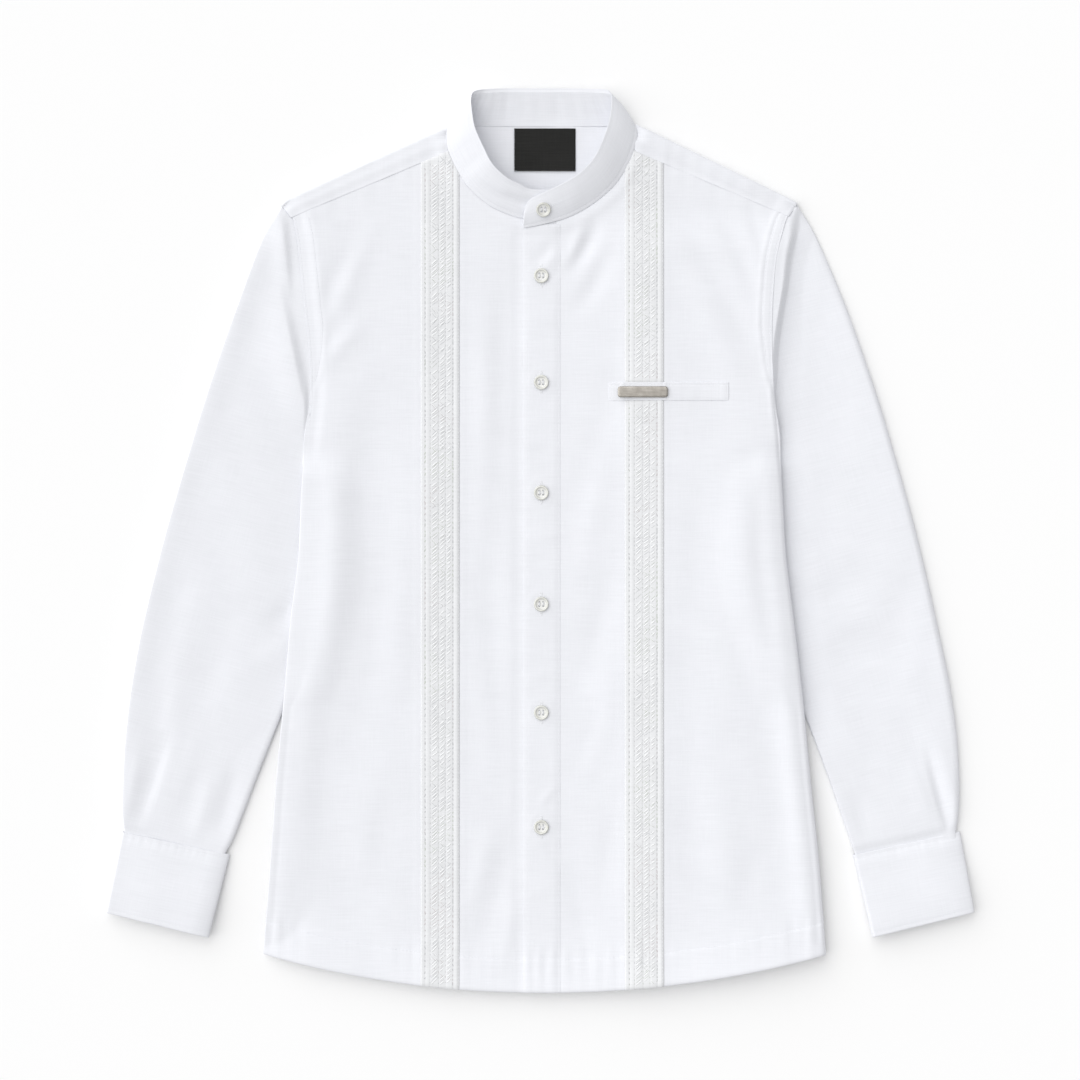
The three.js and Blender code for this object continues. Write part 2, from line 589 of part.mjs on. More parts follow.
function badge() {
  const end = BADGE.wide / 2;
  const half = BADGE.long / 2 - end;
  const outline = new THREE.Shape();
  outline.absarc(half, 0, end, -Math.PI / 2, Math.PI / 2);
  outline.absarc(-half, 0, end, Math.PI / 2, (3 * Math.PI) / 2);
  const under = Math.max(...weltGrid.flat().slice(0, 4).map((p) => p.z));
  extruded('badge', outline, BADGE.thick, nickel).position.set(BADGE.x, BADGE.y, under + 2 * GAP + STRIP);
}
badge();

function neckLabel() {
  const geometry = new THREE.BoxGeometry(LABEL.wide, LABEL.tall, LABEL.thick);
  const piece = new THREE.Mesh(geometry, woven);
  piece.name = 'neck_label';
  piece.position.set(LABEL.x, LABEL.y, CLOTH + GAP + LABEL.thick / 2);
  shirt.add(piece);
}
neckLabel();

export default shirt;
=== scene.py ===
import math
from collections import namedtuple

import bpy
import numpy as np
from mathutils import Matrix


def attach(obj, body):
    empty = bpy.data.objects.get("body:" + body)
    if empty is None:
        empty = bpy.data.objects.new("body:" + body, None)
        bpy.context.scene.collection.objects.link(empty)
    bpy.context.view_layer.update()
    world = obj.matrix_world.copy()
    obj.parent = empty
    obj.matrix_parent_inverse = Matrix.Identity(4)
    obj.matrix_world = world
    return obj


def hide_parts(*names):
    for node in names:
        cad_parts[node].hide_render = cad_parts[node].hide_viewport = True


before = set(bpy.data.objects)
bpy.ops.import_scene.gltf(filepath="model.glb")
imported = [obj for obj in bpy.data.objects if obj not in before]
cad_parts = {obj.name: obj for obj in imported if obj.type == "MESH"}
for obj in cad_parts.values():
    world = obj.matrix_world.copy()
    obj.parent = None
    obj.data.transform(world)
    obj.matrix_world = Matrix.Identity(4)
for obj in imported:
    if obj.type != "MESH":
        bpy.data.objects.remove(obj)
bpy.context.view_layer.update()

# Lengths in this file are millimetres, and become metres where a mesh is made. +Z is up from the surface, +Y
# runs to the collar, and -X is the wearer's right. Rows of a table that holds folds start at their upper end.

# ---- Back ----
# The lower layer: one panel of white slub cotton, cut to the armholes and to the yoke's seam. It lies flat,
# and lifts a little where it covers the sleeves, along its curled sides and at its hem.
CLOTH = 0.8
PLY = 1.2  # the room that one layer takes up
GAP = 0.3
UNDERARM = 93
TUCKED_FROM = 76  # the back lies on the sleeves from here down
SLEEVE_OUT = -143  # and they come out from under it here
BACK_SEAM = 262
HEM = {"low": -391.7, "rise": 33, "fold": 28}
Width = namedtuple("Width", "y right left")
OUTLINE = [  # half widths of the body, down the armhole and then the side
    Width(293, 222, 222),
    Width(282, 216.5, 214.5),
    Width(266, 212.5, 209),
    Width(250, 210.5, 205),
    Width(222, 207.5, 201.8),
    Width(195, 204.5, 200.3),
    Width(162, 201.3, 200.4),
    Width(130, 200.4, 202),
    Width(93, 203.5, 205),
    Width(43, 207.5, 208.8),
    Width(-17, 210.5, 212.5),
    Width(-58, 215.7, 217.5),
    Width(-140, 223, 227),
    Width(-204, 229, 233),
    Width(-280, 234.6, 240.8),
    Width(-358.7, 240.6, 246.8),
]
LIFT = {"edge": 5.6, "over": 4.4, "run": 26, "curl": 6, "sleeve": 21, "hem": 6.6, "hem_run": 62}
Fold = namedtuple("Fold", "x0 y0 x1 y1 bow left right rise")


def share_of(value, low, high):
    """How far a value has got from low to high, held between 0 and 1."""
    return np.clip((value - low) / (high - low), 0, 1)


def eased(value, low, high):
    """The same, with a soft start and end."""
    share = share_of(value, low, high)
    return share * share * (3 - 2 * share)


def blended(a, b, share):
    return a + (b - a) * share


def through(knots, values, at):
    """A fair curve through values that stand at rising knots."""
    knots, values = np.asarray(knots, float), np.asarray(values, float)
    slope = np.gradient(values, knots, axis=0)
    i = np.clip(np.searchsorted(knots, at) - 1, 0, len(knots) - 2)
    wide = knots[i + 1] - knots[i]
    t = np.clip((at - knots[i]) / wide, 0, 1)
    if values.ndim > 1:
        wide, t = wide[..., None], t[..., None]
    return (
        (2 * t**3 - 3 * t**2 + 1) * values[i]
        + (t**3 - 2 * t**2 + t) * wide * slope[i]
        + (3 * t**2 - 2 * t**3) * values[i + 1]
        + (t**3 - t**2) * wide * slope[i + 1]
    )


def edge_x(x, y):
    """The body's half width at a height, on the side that x is on."""
    rising, right, left = np.array(OUTLINE)[::-1].T
    y = np.asarray(y, float)
    return np.where(np.asarray(x) < 0, through(rising, right, y), through(rising, left, y))


def hem_y(x):
    return HEM["low"] + HEM["rise"] * (x / edge_x(x, HEM["low"])) ** 2


def lift(x, y):
    """How far the back's underside is off the surface."""
    from_edge = edge_x(x, y) - np.abs(x)
    along = share_of(TUCKED_FROM - y, 0, TUCKED_FROM - SLEEVE_OUT)
    band = LIFT["curl"] + LIFT["sleeve"] * np.sin(math.pi * along) ** 0.7
    side = np.where(
        from_edge < band,
        blended(LIFT["edge"], LIFT["over"], from_edge / band),
        LIFT["over"] * (1 - eased(from_edge, band, band + 1.4 * LIFT["run"])),
    )
    side = side * (1 - eased(y, TUCKED_FROM - 22, TUCKED_FROM + 6))
    hem = LIFT["hem"] * (1 - share_of(y - hem_y(x), 0, LIFT["hem_run"])) ** 2
    return np.maximum(side, hem)


def creases(x, y, folds):
    """Height of soft folds. A fold bows to its right, and reaches further on one side than on the other."""
    high = np.zeros(np.broadcast(x, y).shape)
    for fold in folds:
        dx, dy = fold.x1 - fold.x0, fold.y1 - fold.y0
        long = math.hypot(dx, dy)
        along = ((x - fold.x0) * dx + (y - fold.y0) * dy) / long**2
        off = ((y - fold.y0) * dx - (x - fold.x0) * dy) / long - fold.bow * 4 * along * (1 - along)
        reach = np.where(off < 0, fold.left, fold.right)
        ends = np.sin(math.pi * np.clip(along, 0, 1)) ** 1.3
        high = high + fold.rise * ends * np.exp(-((off / reach) ** 2))
    return high


def slack(x, y, high):
    """The slow unevenness of laid cloth."""
    return high * (
        np.sin(x / 19 + 1.3 * np.sin(y / 41)) * np.sin(y / 33 + 0.8)
        + 0.7 * np.sin(x / 9.5 + y / 37 + 2.1) * np.sin(y / 58 + x / 71)
    )


def line(off, wide):
    """A soft ridge along a line, one high."""
    return np.exp(-((off / wide) ** 2))


def laid_on(top, x, y, above=0):
    """Points on a surface, or a little above it."""
    x, y = np.broadcast_arrays(x, y)
    return np.stack([x, y, top(x, y) + above], -1)


def make(name, points, edges=(), faces=(), finish=None):
    """An object from points in metres. One that has faces is smooth and has a finish."""
    mesh = bpy.data.meshes.new(name)
    mesh.from_pydata(np.asarray(points).tolist(), edges, faces)
    if finish:
        mesh.polygons.foreach_set("use_smooth", np.ones(len(faces), bool))
        mesh.materials.append(finish)
    piece = bpy.data.objects.new(name, mesh)
    bpy.context.scene.collection.objects.link(piece)
    return piece


def along_normal(face, by):
    """A grid of points moved along its own normals."""
    down, across = np.gradient(face, axis=0), np.gradient(face, axis=1)
    normal = np.cross(across, down)
    normal /= np.linalg.norm(normal, axis=2, keepdims=True)
    return face + normal * by


def sew(name, face, lining, weave, cloth, closed=False, kept=None):
    """One closed piece from a grid of points on its outer face and one on its inner face, with a round rim."""
    rows, columns = face.shape[:2]
    count = rows * columns
    at = np.arange(count).reshape(rows, columns)
    left, right = (at, np.roll(at, -1, 1)) if closed else (at[:, :-1], at[:, 1:])
    quads = np.stack([left[:-1], right[:-1], right[1:], left[1:]], -1).reshape(-1, 4)
    threads = np.arange(weave.shape[0] * weave.shape[1]).reshape(weave.shape[:2])
    laid = np.stack([threads[:-1, :-1], threads[:-1, 1:], threads[1:, 1:], threads[1:, :-1]], -1).reshape(-1, 4)
    if kept is not None:
        quads, laid = quads[kept.ravel()], laid[kept.ravel()]
    edges = np.concatenate([quads[:, [i, (i + 1) % 4]] for i in range(4)])
    on_edges = np.concatenate([laid[:, [i, (i + 1) % 4]] for i in range(4)])
    points = np.concatenate([face.reshape(-1, 3), lining.reshape(-1, 3)])
    middles = np.tile(points[quads].mean(axis=1), (4, 1))
    key = edges.min(axis=1) * count + edges.max(axis=1)
    _, first, uses = np.unique(key, return_index=True, return_counts=True)
    border = first[uses == 1]
    a, b = edges[border].T
    outward = np.zeros((count, 3))
    step = points[edges[border]].mean(axis=1) - middles[border]
    step /= np.linalg.norm(step, axis=1, keepdims=True)
    np.add.at(outward, a, step)
    np.add.at(outward, b, step)
    on_rim = np.unique(edges[border])
    rim_at = np.zeros(count, int)
    rim_at[on_rim] = 2 * count + np.arange(len(on_rim))
    out = outward[on_rim] / np.linalg.norm(outward[on_rim], axis=1, keepdims=True)
    upper, lower = points[on_rim], points[on_rim + count]
    thick = np.linalg.norm(upper - lower, axis=1, keepdims=True)
    points = np.concatenate([points, (upper + lower) / 2 + out * np.minimum(thick * 0.45, 0.9)])
    ra, rb = rim_at[a], rim_at[b]
    rims = [np.stack([b, a, ra, rb], -1), np.stack([rb, ra, a + count, b + count], -1)]
    faces = np.concatenate([quads, quads[:, ::-1] + count, *rims])
    ta, tb = on_edges[border].T
    wrapped = np.stack([tb, ta, ta, tb], -1)
    lay = np.concatenate([laid, laid[:, ::-1], wrapped, wrapped])
    used, faces = np.unique(faces, return_inverse=True)
    points, faces = points[used], faces.reshape(-1, 4)
    corner = points[faces]
    normals = np.cross(corner[:, 1], corner[:, 2]) + np.cross(corner[:, 2], corner[:, 3])
    if (corner[:, 0] * normals).sum() < 0:  # inside out
        faces, lay = faces[:, ::-1], lay[:, ::-1]
    piece = make(name, points * 0.001, faces=faces.tolist(), finish=cloth)
    layer = piece.data.uv_layers.new(name="weave")
    layer.data.foreach_set("uv", (weave.reshape(-1, 2) * 0.001)[lay].ravel().astype(np.float32))
    return piece


def feed(tree, node, inputs):
    """Sets a node's inputs, each to a value or to the socket that runs into it."""
    for name, value in inputs.items():
        if isinstance(value, bpy.types.NodeSocket):
            tree.links.new(value, node.inputs[name])
        else:
            node.inputs[name].default_value = value


def add(tree, kind, inputs=None, output=0, **settings):
    """Adds a node to a tree and gives back its output."""
    node = tree.nodes.new(kind)
    for name, value in settings.items():
        setattr(node, name, value)
    feed(tree, node, inputs or {})
    return node.outputs[output]


def noise(tree, place, scale, detail, **settings):
    return add(tree, "ShaderNodeTexNoise", {"Vector": place, "Scale": scale, "Detail": detail}, **settings)


def stretched(tree, place, by):
    return add(tree, "ShaderNodeMapping", {"Vector": place, "Scale": by})


def mixed(tree, a, b, share):
    return add(tree, "ShaderNodeMix", {"A": a, "B": b, "Factor": share})


def spread(tree, value, to_low, to_high, low=0, high=1):
    """A value that runs from low to high, made to run from one level to another."""
    ends = {"From Min": low, "From Max": high, "To Min": to_low, "To Max": to_high}
    return add(tree, "ShaderNodeMapRange", {"Value": value, **ends})


def tinted(tree, color, tone):
    return add(tree, "ShaderNodeVectorMath", {0: color, "Scale": tone}, operation="SCALE")


def embossed(tree, height, strength, distance):
    return add(tree, "ShaderNodeBump", {"Height": height, "Strength": strength, "Distance": distance})


def new_finish(name):
    """A material, its tree and its shader."""
    finish = bpy.data.materials.new(name)
    finish.use_nodes = True
    return finish, finish.node_tree, finish.node_tree.nodes["Principled BSDF"]


def shirting(name, white, slub):
    """Slub plain weave. The yarns run with the piece's own weave map, so they turn with each cut piece."""
    finish, tree, cloth = new_finish(name)
    weave = add(tree, "ShaderNodeUVMap", uv_map="weave")

    def yarns(across, along, detail):
        return noise(tree, stretched(tree, weave, (across, along, 1)), 1, detail, noise_dimensions="2D")

    slubs = mixed(tree, yarns(38, 980, 2), yarns(980, 38, 2), 0.38)
    tone = spread(tree, mixed(tree, slubs, yarns(30, 46, 3), 0.25), 1 - slub, 1 + slub * 0.6, 0.3, 0.7)
    relief = mixed(tree, slubs, yarns(2100, 2300, 1), 0.35)
    look = {"Roughness": 0.86, "Specular IOR Level": 0.25, "Sheen Weight": 0.06, "Sheen Roughness": 0.5}
    look.update({"Base Color": tinted(tree, white, tone), "Normal": embossed(tree, relief, 0.5, 0.00012)})
    feed(tree, cloth, look)
    return finish


white_cotton = shirting("white_cotton", (0.835, 0.845, 0.885), 0.04)

BACK_HEAD = {"under": 8.4, "beside": 0.4, "low": UNDERARM + 8, "full": UNDERARM + 34, "high": 256}


def head_x(x, y):
    """The armhole edge of the sleeve's head and of the back, which lie under the front's."""
    under = eased(y, BACK_HEAD["low"], BACK_HEAD["full"]) * (1 - eased(y, BACK_HEAD["high"], 281))
    return edge_x(x, y) + BACK_HEAD["beside"] - BACK_HEAD["under"] * under


BACK_HALF, BACK_ROWS = 215, 150  # its nominal half width, and its rows above the hem


def back_panel():
    rim = np.array([0, 0.8, 2, 4, 7])
    columns = np.concatenate([rim - BACK_HALF, np.linspace(-204, 204, 104), BACK_HALF - rim[::-1]])
    low = np.array([0, 0.8, 2, 4, 8, 13, 19, 25, 31, 38, 46, 54])
    nominal = np.broadcast_to(columns, (low.size + BACK_ROWS, columns.size))
    x = nominal.astype(float).copy()
    for _ in range(4):
        foot = hem_y(x[: low.size]) + low[:, None]
        start = hem_y(x[low.size :]) + LIFT["hem_run"]
        body = blended(start, BACK_SEAM - GAP, np.linspace(0, 1, BACK_ROWS)[:, None])
        y = np.concatenate([foot, body])
        edge = np.where(y > TUCKED_FROM, head_x(nominal, y) - 3 * GAP, edge_x(nominal, y) - 1.2)
        follow = eased(np.abs(nominal), 100, 190)
        x = np.sign(nominal) * (np.abs(nominal) + follow * (edge - BACK_HALF))
    off = np.maximum(edge - np.abs(x), 0)
    drop = 0.6 * (1 - share_of(off, 0, 8)) ** 2 * (1 - eased(y, TUCKED_FROM - 22, TUCKED_FROM + 6))
    under = laid_on(lift, x, y, -drop)
    return sew("back", along_normal(under, CLOTH), under, under[..., :2], white_cotton)


back = back_panel()
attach(back, "root")
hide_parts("back")

# ---- Sleeves ----
# Each is one panel closed to a tube, pressed flat, with its head under the body's armhole seam and its lower
# end pleated into the cuff. The stations run from the armhole to the cuff, outer fold first.
HEAD_HIGH = {"right": 4.85, "left": 10.55}  # at the armhole's seam, where the front's edge lies on it
HEAD_END = {"right": (3.2, 276), "left": (6.4, 250)}  # its height at the shoulder, and where it starts to fall
TUCKED_HIGH = {"right": 3.8, "left": 2.5}
FOLD_REACH = {"right": (1.6, 5), "left": (6, 2)}  # how far each side's folds are rounded, outer fold first
SLEEVE_ENDS = {"right": (0.02, 0.96), "left": (0.04, 0.98)}  # where its folds enter the cuff
CUFF_HIGH = 7.4
CUFF_PLY = 1.8
Station = namedtuple("Station", "out_x out_y in_x in_y bow high")
SLEEVES = {
    "right": [
        Station(225.8, 290.6, 201.4, 91, 1, 3.0),
        Station(242.5, 262, 203.6, 78, 0.6, 4.6),
        Station(262.2, 210, 202, 58, 0.35, 5.2),
        Station(278.8, 163, 192, 28, 0.1, 5.4),
        Station(293.6, 118, 188, -5, 0, 5.4),
        Station(306.4, 76, 190, -38, 0, 5.4),
        Station(320.6, 28, 198, -74, 0, 5.4),
        Station(332.8, -17, 210, -110, 0, 5.4),
        Station(346.8, -75, 222, -143, 0, 5.4),
        Station(355.8, -124, 235, -176, 0, 5.4),
        Station(361.5, -172, 248, -209, 0, 5.4),
        Station(363.8, -215, 260.5, -242, 0, 5.6),
        Station(363.8, -240, 268, -261, 0, 5.7),
    ],
    "left": [
        Station(222.6, 292, 202.6, 91, 1, 5.0),
        Station(240, 262, 204.8, 78, 0.6, 4.8),
        Station(262.4, 210, 203.5, 58, 0.35, 5.2),
        Station(279.6, 163, 194, 28, 0.1, 5.4),
        Station(294.6, 118, 190, -5, 0, 5.4),
        Station(307, 76, 192, -38, 0, 5.4),
        Station(320.6, 28, 200, -74, 0, 5.4),
        Station(332, -17, 213, -110, 0, 5.4),
        Station(345, -75, 226, -143, 0, 5.4),
        Station(355, -124, 238.5, -176, 0, 5.4),
        Station(361.5, -172, 250.5, -209, 0, 5.4),
        Station(363.5, -215, 262, -242, 0, 5.6),
        Station(362.5, -240, 268.5, -261, 0, 5.7),
    ],
}
CUFFS = {  # its mouth, at the sleeve, and its free end
    "right": {"mouth": [(364.2, -253), (270.4, -273)], "end": [(377.4, -322), (288, -344)]},
    "left": {"mouth": [(364.2, -253), (270.8, -273)], "end": [(376, -322), (287, -343.5)]},
}
# Signed x. The first of each is the drag from the underarm to the shoulder.
SLEEVE_FOLDS = {
    "right": [
        Fold(-230, 228, -199, 80, 0.5, 20, 5.5, 4.2),
        Fold(-229, 312, -219, 206, 1, 10, 3.5, 2.8),
        Fold(-250, 258, -318, 30, 5, 20, 12, 0.8),
        Fold(-268, 230, -334, -20, 6, 10, 16, -0.9),
        Fold(-292, -10, -336, -150, 7, 12, 20, 1.0),
        Fold(-262, -40, -312, -170, 4, 22, 14, -1.0),
        Fold(-312, -95, -350, -246, 6, 8, 17, 1.2),
        Fold(-321, -150, -356, -258, 3, 9, 5, -1.9),
        Fold(-296, -150, -334, -256, 4, 16, 9, 0.9),
        Fold(-206, -48, -244, -78, 3, 9, 14, -1.3),
        Fold(-214, -84, -262, -112, 3, 8, 14, 0.8),
        Fold(-240, 160, -222, 60, -4, 16, 20, -0.4),
        Fold(-300, 120, -262, 20, 5, 22, 16, 0.6),
        Fold(-264, -185, -284, -266, 2, 8, 9, -1.5),
        Fold(-286, -200, -303, -266, 1, 7, 7, 1.0),
        Fold(-349, -170, -362, -246, 2, 5, 6, 0.8),
    ],
    "left": [
        Fold(229, 226, 236, 60, -5, 14, 26, -1.2),
        Fold(238, 262, 296, 60, 8, 16, 24, 0.9),
        Fold(266, 214, 318, 20, -4, 14, 18, -0.6),
        Fold(228, -60, 300, -30, 3, 10, 16, -0.8),
        Fold(232, -88, 306, -62, 3, 8, 14, 0.7),
        Fold(236, -118, 312, -92, 2, 8, 14, -0.6),
        Fold(322, -10, 311, -150, -6, 18, 14, -1.3),
        Fold(309, -140, 340, -215, 2, 14, 9, -1.2),
        Fold(344, -60, 352, -190, 5, 14, 14, 1.0),
        Fold(333, -172, 358.5, -268, -1, 2.6, 7, -2.4),
        Fold(343, -168, 367, -256, 0, 7, 7, 1.0),
        Fold(318, -185, 345, -256, -2, 12, 7, 1.1),
        Fold(258, -150, 300, -245, 4, 16, 14, -0.7),
        Fold(240, -132, 280, -190, 3, 8, 12, 0.8),
        Fold(268, -215, 285, -262, 1, 7, 9, -1.0),
        Fold(250, 40, 262, -60, 6, 20, 22, 0.6),
    ],
}


def stadium(place, top, base, wide, reaches, thick, inward):
    """Sections of a tube pressed flat, round at both folds: the points of its face and of its lining."""
    wide = wide[:, None]
    first, last = reaches[0] / wide, reaches[1] / wide
    ends = np.array([0, 0.04, 0.16, 0.35, 0.6, 0.85])
    middle = first + (1 - first - last) * np.linspace(0, 1, 44)
    over = np.concatenate([ends * first, middle, 1 - ends[::-1] * last], axis=1)
    below = over[:, -2:0:-2]

    def roundness(share):
        into = np.minimum(np.clip(share / first, 0, 1), np.clip((1 - share) / last, 0, 1))
        return np.sqrt(1 - (1 - into) ** 2)

    x, y = place(over)
    high = top(x, y)
    fold = (np.minimum(high[:, :1], high[:, -1:]) + base) / 2
    upper = np.stack([x, y, fold + (high - fold) * roundness(over)], -1)
    x, y = place(below)
    lower = np.stack([x, y, fold + (base - fold) * roundness(below)], -1)
    face = np.concatenate([upper, lower], axis=1)
    wrapped = np.concatenate([face[:, -2:], face, face[:, :2]], axis=1)
    return face, along_normal(wrapped, inward * thick)[:, 2:-2]


def girth_weave(face):
    """A weave map for a tube pressed flat: its warp runs along it, and turns under with each fold."""
    looped = np.concatenate([face, face[:, :1]], axis=1)[..., :2]
    half = looped.shape[1] // 2
    ahead = looped[-1, half // 2] - looped[0, half // 2]
    ahead /= np.linalg.norm(ahead)
    along, across = looped @ ahead, looped @ np.array([ahead[1], -ahead[0]])
    turn = across[:, half : half + 1]
    across[:, half + 1 :] = 2 * turn - across[:, half + 1 :]
    return np.stack([across, along], -1)


def sleeve(side):
    sign = -1 if side == "right" else 1
    first = SLEEVES[side][0]
    mouth, end = (np.array(CUFFS[side][key], float) for key in ("mouth", "end"))
    lines = [*SLEEVES[side]]
    for reach in (-0.014, 0.085):  # the end, drawn in a little and tucked into the cuff
        folds = SLEEVE_ENDS[side]
        outer, inner = (blended(blended(*mouth, share), blended(*end, share), reach) for share in folds)
        lines.append(Station(*outer, *inner, 0, CUFF_HIGH - CUFF_PLY - GAP))
    lines = np.array(lines)
    # its rows are close together at the armhole, and again inside the cuff
    at = np.concatenate([np.linspace(0, 1.4, 36), np.linspace(1.4, 12, 130)[1:], np.linspace(12, 14, 13)[1:]])
    row = through(np.arange(len(lines)), lines, at)
    tucked = eased(at, 12.3, 13)[:, None]  # into the cuff
    base = (CUFF_PLY + GAP) * tucked + 1.1 * (1 - eased(at, 0.6, 1.4))[:, None]

    def place(over):
        x, y = blended(row[:, :1], row[:, 2:3], over), blended(row[:, 1:2], row[:, 3:4], over)
        # the head follows the armhole's curve
        head_y = blended(first.out_y, first.in_y, over)
        bowed = head_x(sign + 0 * over, head_y) - 4.2 * eased(head_y, 256, 281)
        bowed -= blended(first.out_x, first.in_x, over)
        bow = np.maximum(row[:, 4:5], 0) * bowed * np.sin(math.pi * over) ** 0.2 * share_of(over, 0, 0.035)
        return sign * (x + bow), y

    def top(x, y):
        past = np.abs(x) - edge_x(x, y)  # how far out from the body's side
        loose = 1 - eased(y, SLEEVE_OUT - 60, SLEEVE_OUT - 5)  # out from under the body
        in_arm = eased(y, UNDERARM - 10, UNDERARM + 26)
        low, falls_from = HEAD_END[side]
        at_seam = HEAD_HIGH[side] - (HEAD_HIGH[side] - low) * eased(y, falls_from, 291)
        head = blended(TUCKED_HIGH[side], at_seam - 1.3 * eased(-past, 0, 3.5), in_arm)
        soft = creases(x, y, SLEEVE_FOLDS[side]) + slack(x, y, 0.25)
        if side == "right":
            # the outer side is rolled up
            outer = through(lines[:, 1][::-1], lines[:, 0][::-1], y) - np.abs(x)
            soft = soft + 1.7 * line(outer, 17) * (1 - eased(y, 240, 280))
            high = blended(head, row[:, 5:6] - 0.2, np.maximum(loose, eased(past, 0, 50)))
        else:
            # the seam's side is raised, and falls to a deep valley that runs on beside the body
            wall = 3.2 * eased(y, 120, 150) + 9.4 * eased(y, 138, 235) - 5 * eased(y, 258, 290) - 3.5
            floor = 1.9 + 1.3 * eased(past, wall + 9, wall + 32) + 2.8 * eased(y, 266, 290)
            high = blended(head, floor, share_of(past, wall - 0.5, wall + 5.5))
            high = blended(high, row[:, 5:6] + 1.0, np.maximum(loose, eased(past, 34, 104)))
        high = np.maximum(high + soft * np.maximum(loose, eased(past, 0, 4)), base + 1.9)
        return blended(high, np.clip(high, base + 1.8, CUFF_HIGH - CUFF_PLY - GAP), tucked)

    wide = np.hypot(row[:, 0] - row[:, 2], row[:, 1] - row[:, 3])
    face, lining = stadium(place, top, base, wide, FOLD_REACH[side], CLOTH, -sign)
    return sew(f"sleeve_{side}", face, lining, girth_weave(face), white_cotton, closed=True)


for side in ("right", "left"):
    piece = sleeve(side)
    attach(piece, "root")
    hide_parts(f"sleeve_{side}")

# ---- Fronts ----
# Two panels of the same cotton, slightly puffed up over the back. They run under the yoke's edge and the
# collar, the right one runs under the placket, and each ends in a hem turned up once more and stitched.
YOKE_NECK, YOKE_ARM = (81, 338), (213, 282)
NECK = {"half": 84, "base": 356, "depth": 80, "power": 1.85}
PLACKET = {"free": -15.7, "seam": 16.5, "top": 274.5, "ply": 0.9}
BANDS = {"right": (-104.4, -70.5), "left": (72.6, 105.8)}
WELT = {"inner": 58.7, "outer": 162.7, "low": 121.4, "high": 137, "ply": 0.35}
LOFT = {"middle": 3.0, "side": -1.0, "armhole": 2.4, "neck": 0.6, "left": 4.0}
FELL = {"right": 14, "left": 8.4}  # width of the felled armhole seam
FELL_STITCH = 1.7  # its outer row of stitches, from the edge
BUTTON_HEIGHTS = [229.8, 137.2, 41.4, -55.2, -149.4, -248.8]
BUTTON_X = 0.2
FOLD_DEPTH = 1.2
FRONT_FOLDS = [
    # the wearer's right front
    Fold(-196, 178, -158, 262, 4, 9, 10, -1.2),
    Fold(-180, 190, -140, 282, 3, 9, 10, 0.8),
    Fold(-196, 160, -150, 212, 3, 9, 12, -0.7),
    Fold(-194, 146, -150, 190, 2, 7, 7, 0.7),
    Fold(-196, 150, -150, 150, -3, 9, 12, -0.4),
    Fold(-140, 180, -158, -40, 5, 18, 24, -0.9),
    Fold(-175, 110, -182, -180, -3, 13, 16, 0.9),
    Fold(-133, 40, -172, -250, 6, 16, 20, -0.8),
    Fold(-118, 60, -136, -180, 3, 12, 14, 0.7),
    Fold(-150, -120, -158, -330, 2, 22, 16, 0.5),
    Fold(-196, -30, -214, -300, 2, 10, 16, 0.6),
    Fold(-126, -200, -150, -330, -3, 10, 14, -0.5),
    Fold(-200, -200, -150, -350, 5, 16, 16, -0.4),
    Fold(-28, 262, -34, 40, -3, 10, 15, -0.7),
    Fold(-50, 240, -54, -40, 3, 9, 12, 0.7),
    Fold(-40, 60, -38, -200, -3, 12, 10, -0.6),
    Fold(-58, -60, -44, -240, 3, 10, 10, 0.5),
    Fold(-22, -230, -62, -372, 5, 12, 10, -0.9),
    Fold(-44, -240, -66, -330, 3, 8, 9, 0.6),
    Fold(-20, -300, -40, -380, 2, 6, 9, 0.5),
    Fold(-70, 300, -28, 276, -3, 9, 9, -0.4),
    # the wearer's left front
    Fold(140, 308, 196, 186, 5, 9, 10, -1.1),
    Fold(112, 290, 190, 150, 5, 10, 12, -1.0),
    Fold(176, 296, 200, 226, 3, 6, 8, -0.9),
    Fold(122, 236, 176, 120, 4, 12, 14, 0.8),
    Fold(52, 284, 20, 226, 3, 6, 7, -1.7),
    Fold(38, 284, 20, 236, 2, 5, 5, 1.0),
    Fold(64, 262, 24, 190, 4, 8, 9, -1.1),
    Fold(66, 190, 32, 20, 6, 14, 14, -0.8),
    Fold(58, 120, 24, -60, 5, 10, 12, 0.6),
    Fold(64, 0, 30, -140, 5, 12, 12, -0.9),
    Fold(66, -100, 26, -230, 4, 11, 12, 0.6),
    Fold(56, -130, 26, -210, 2, 8, 9, -0.5),
    Fold(64, -220, 58, -330, -3, 10, 12, -0.8),
    Fold(22, -280, 44, -372, 2, 9, 9, -0.6),
    Fold(137, 110, 126, -130, 3, 15, 16, -0.8),
    Fold(165, 100, 170, -150, -3, 14, 18, 0.9),
    Fold(188, 90, 205, -120, -3, 12, 14, -0.6),
    Fold(122, -60, 132, -340, 2, 13, 16, -0.8),
    Fold(156, -180, 160, -350, 2, 15, 14, 0.7),
    Fold(196, -140, 216, -330, 3, 14, 14, -0.7),
    Fold(214, -40, 230, -300, -2, 10, 9, 0.7),
    Fold(170, -330, 200, -250, 3, 10, 12, -0.4),
]
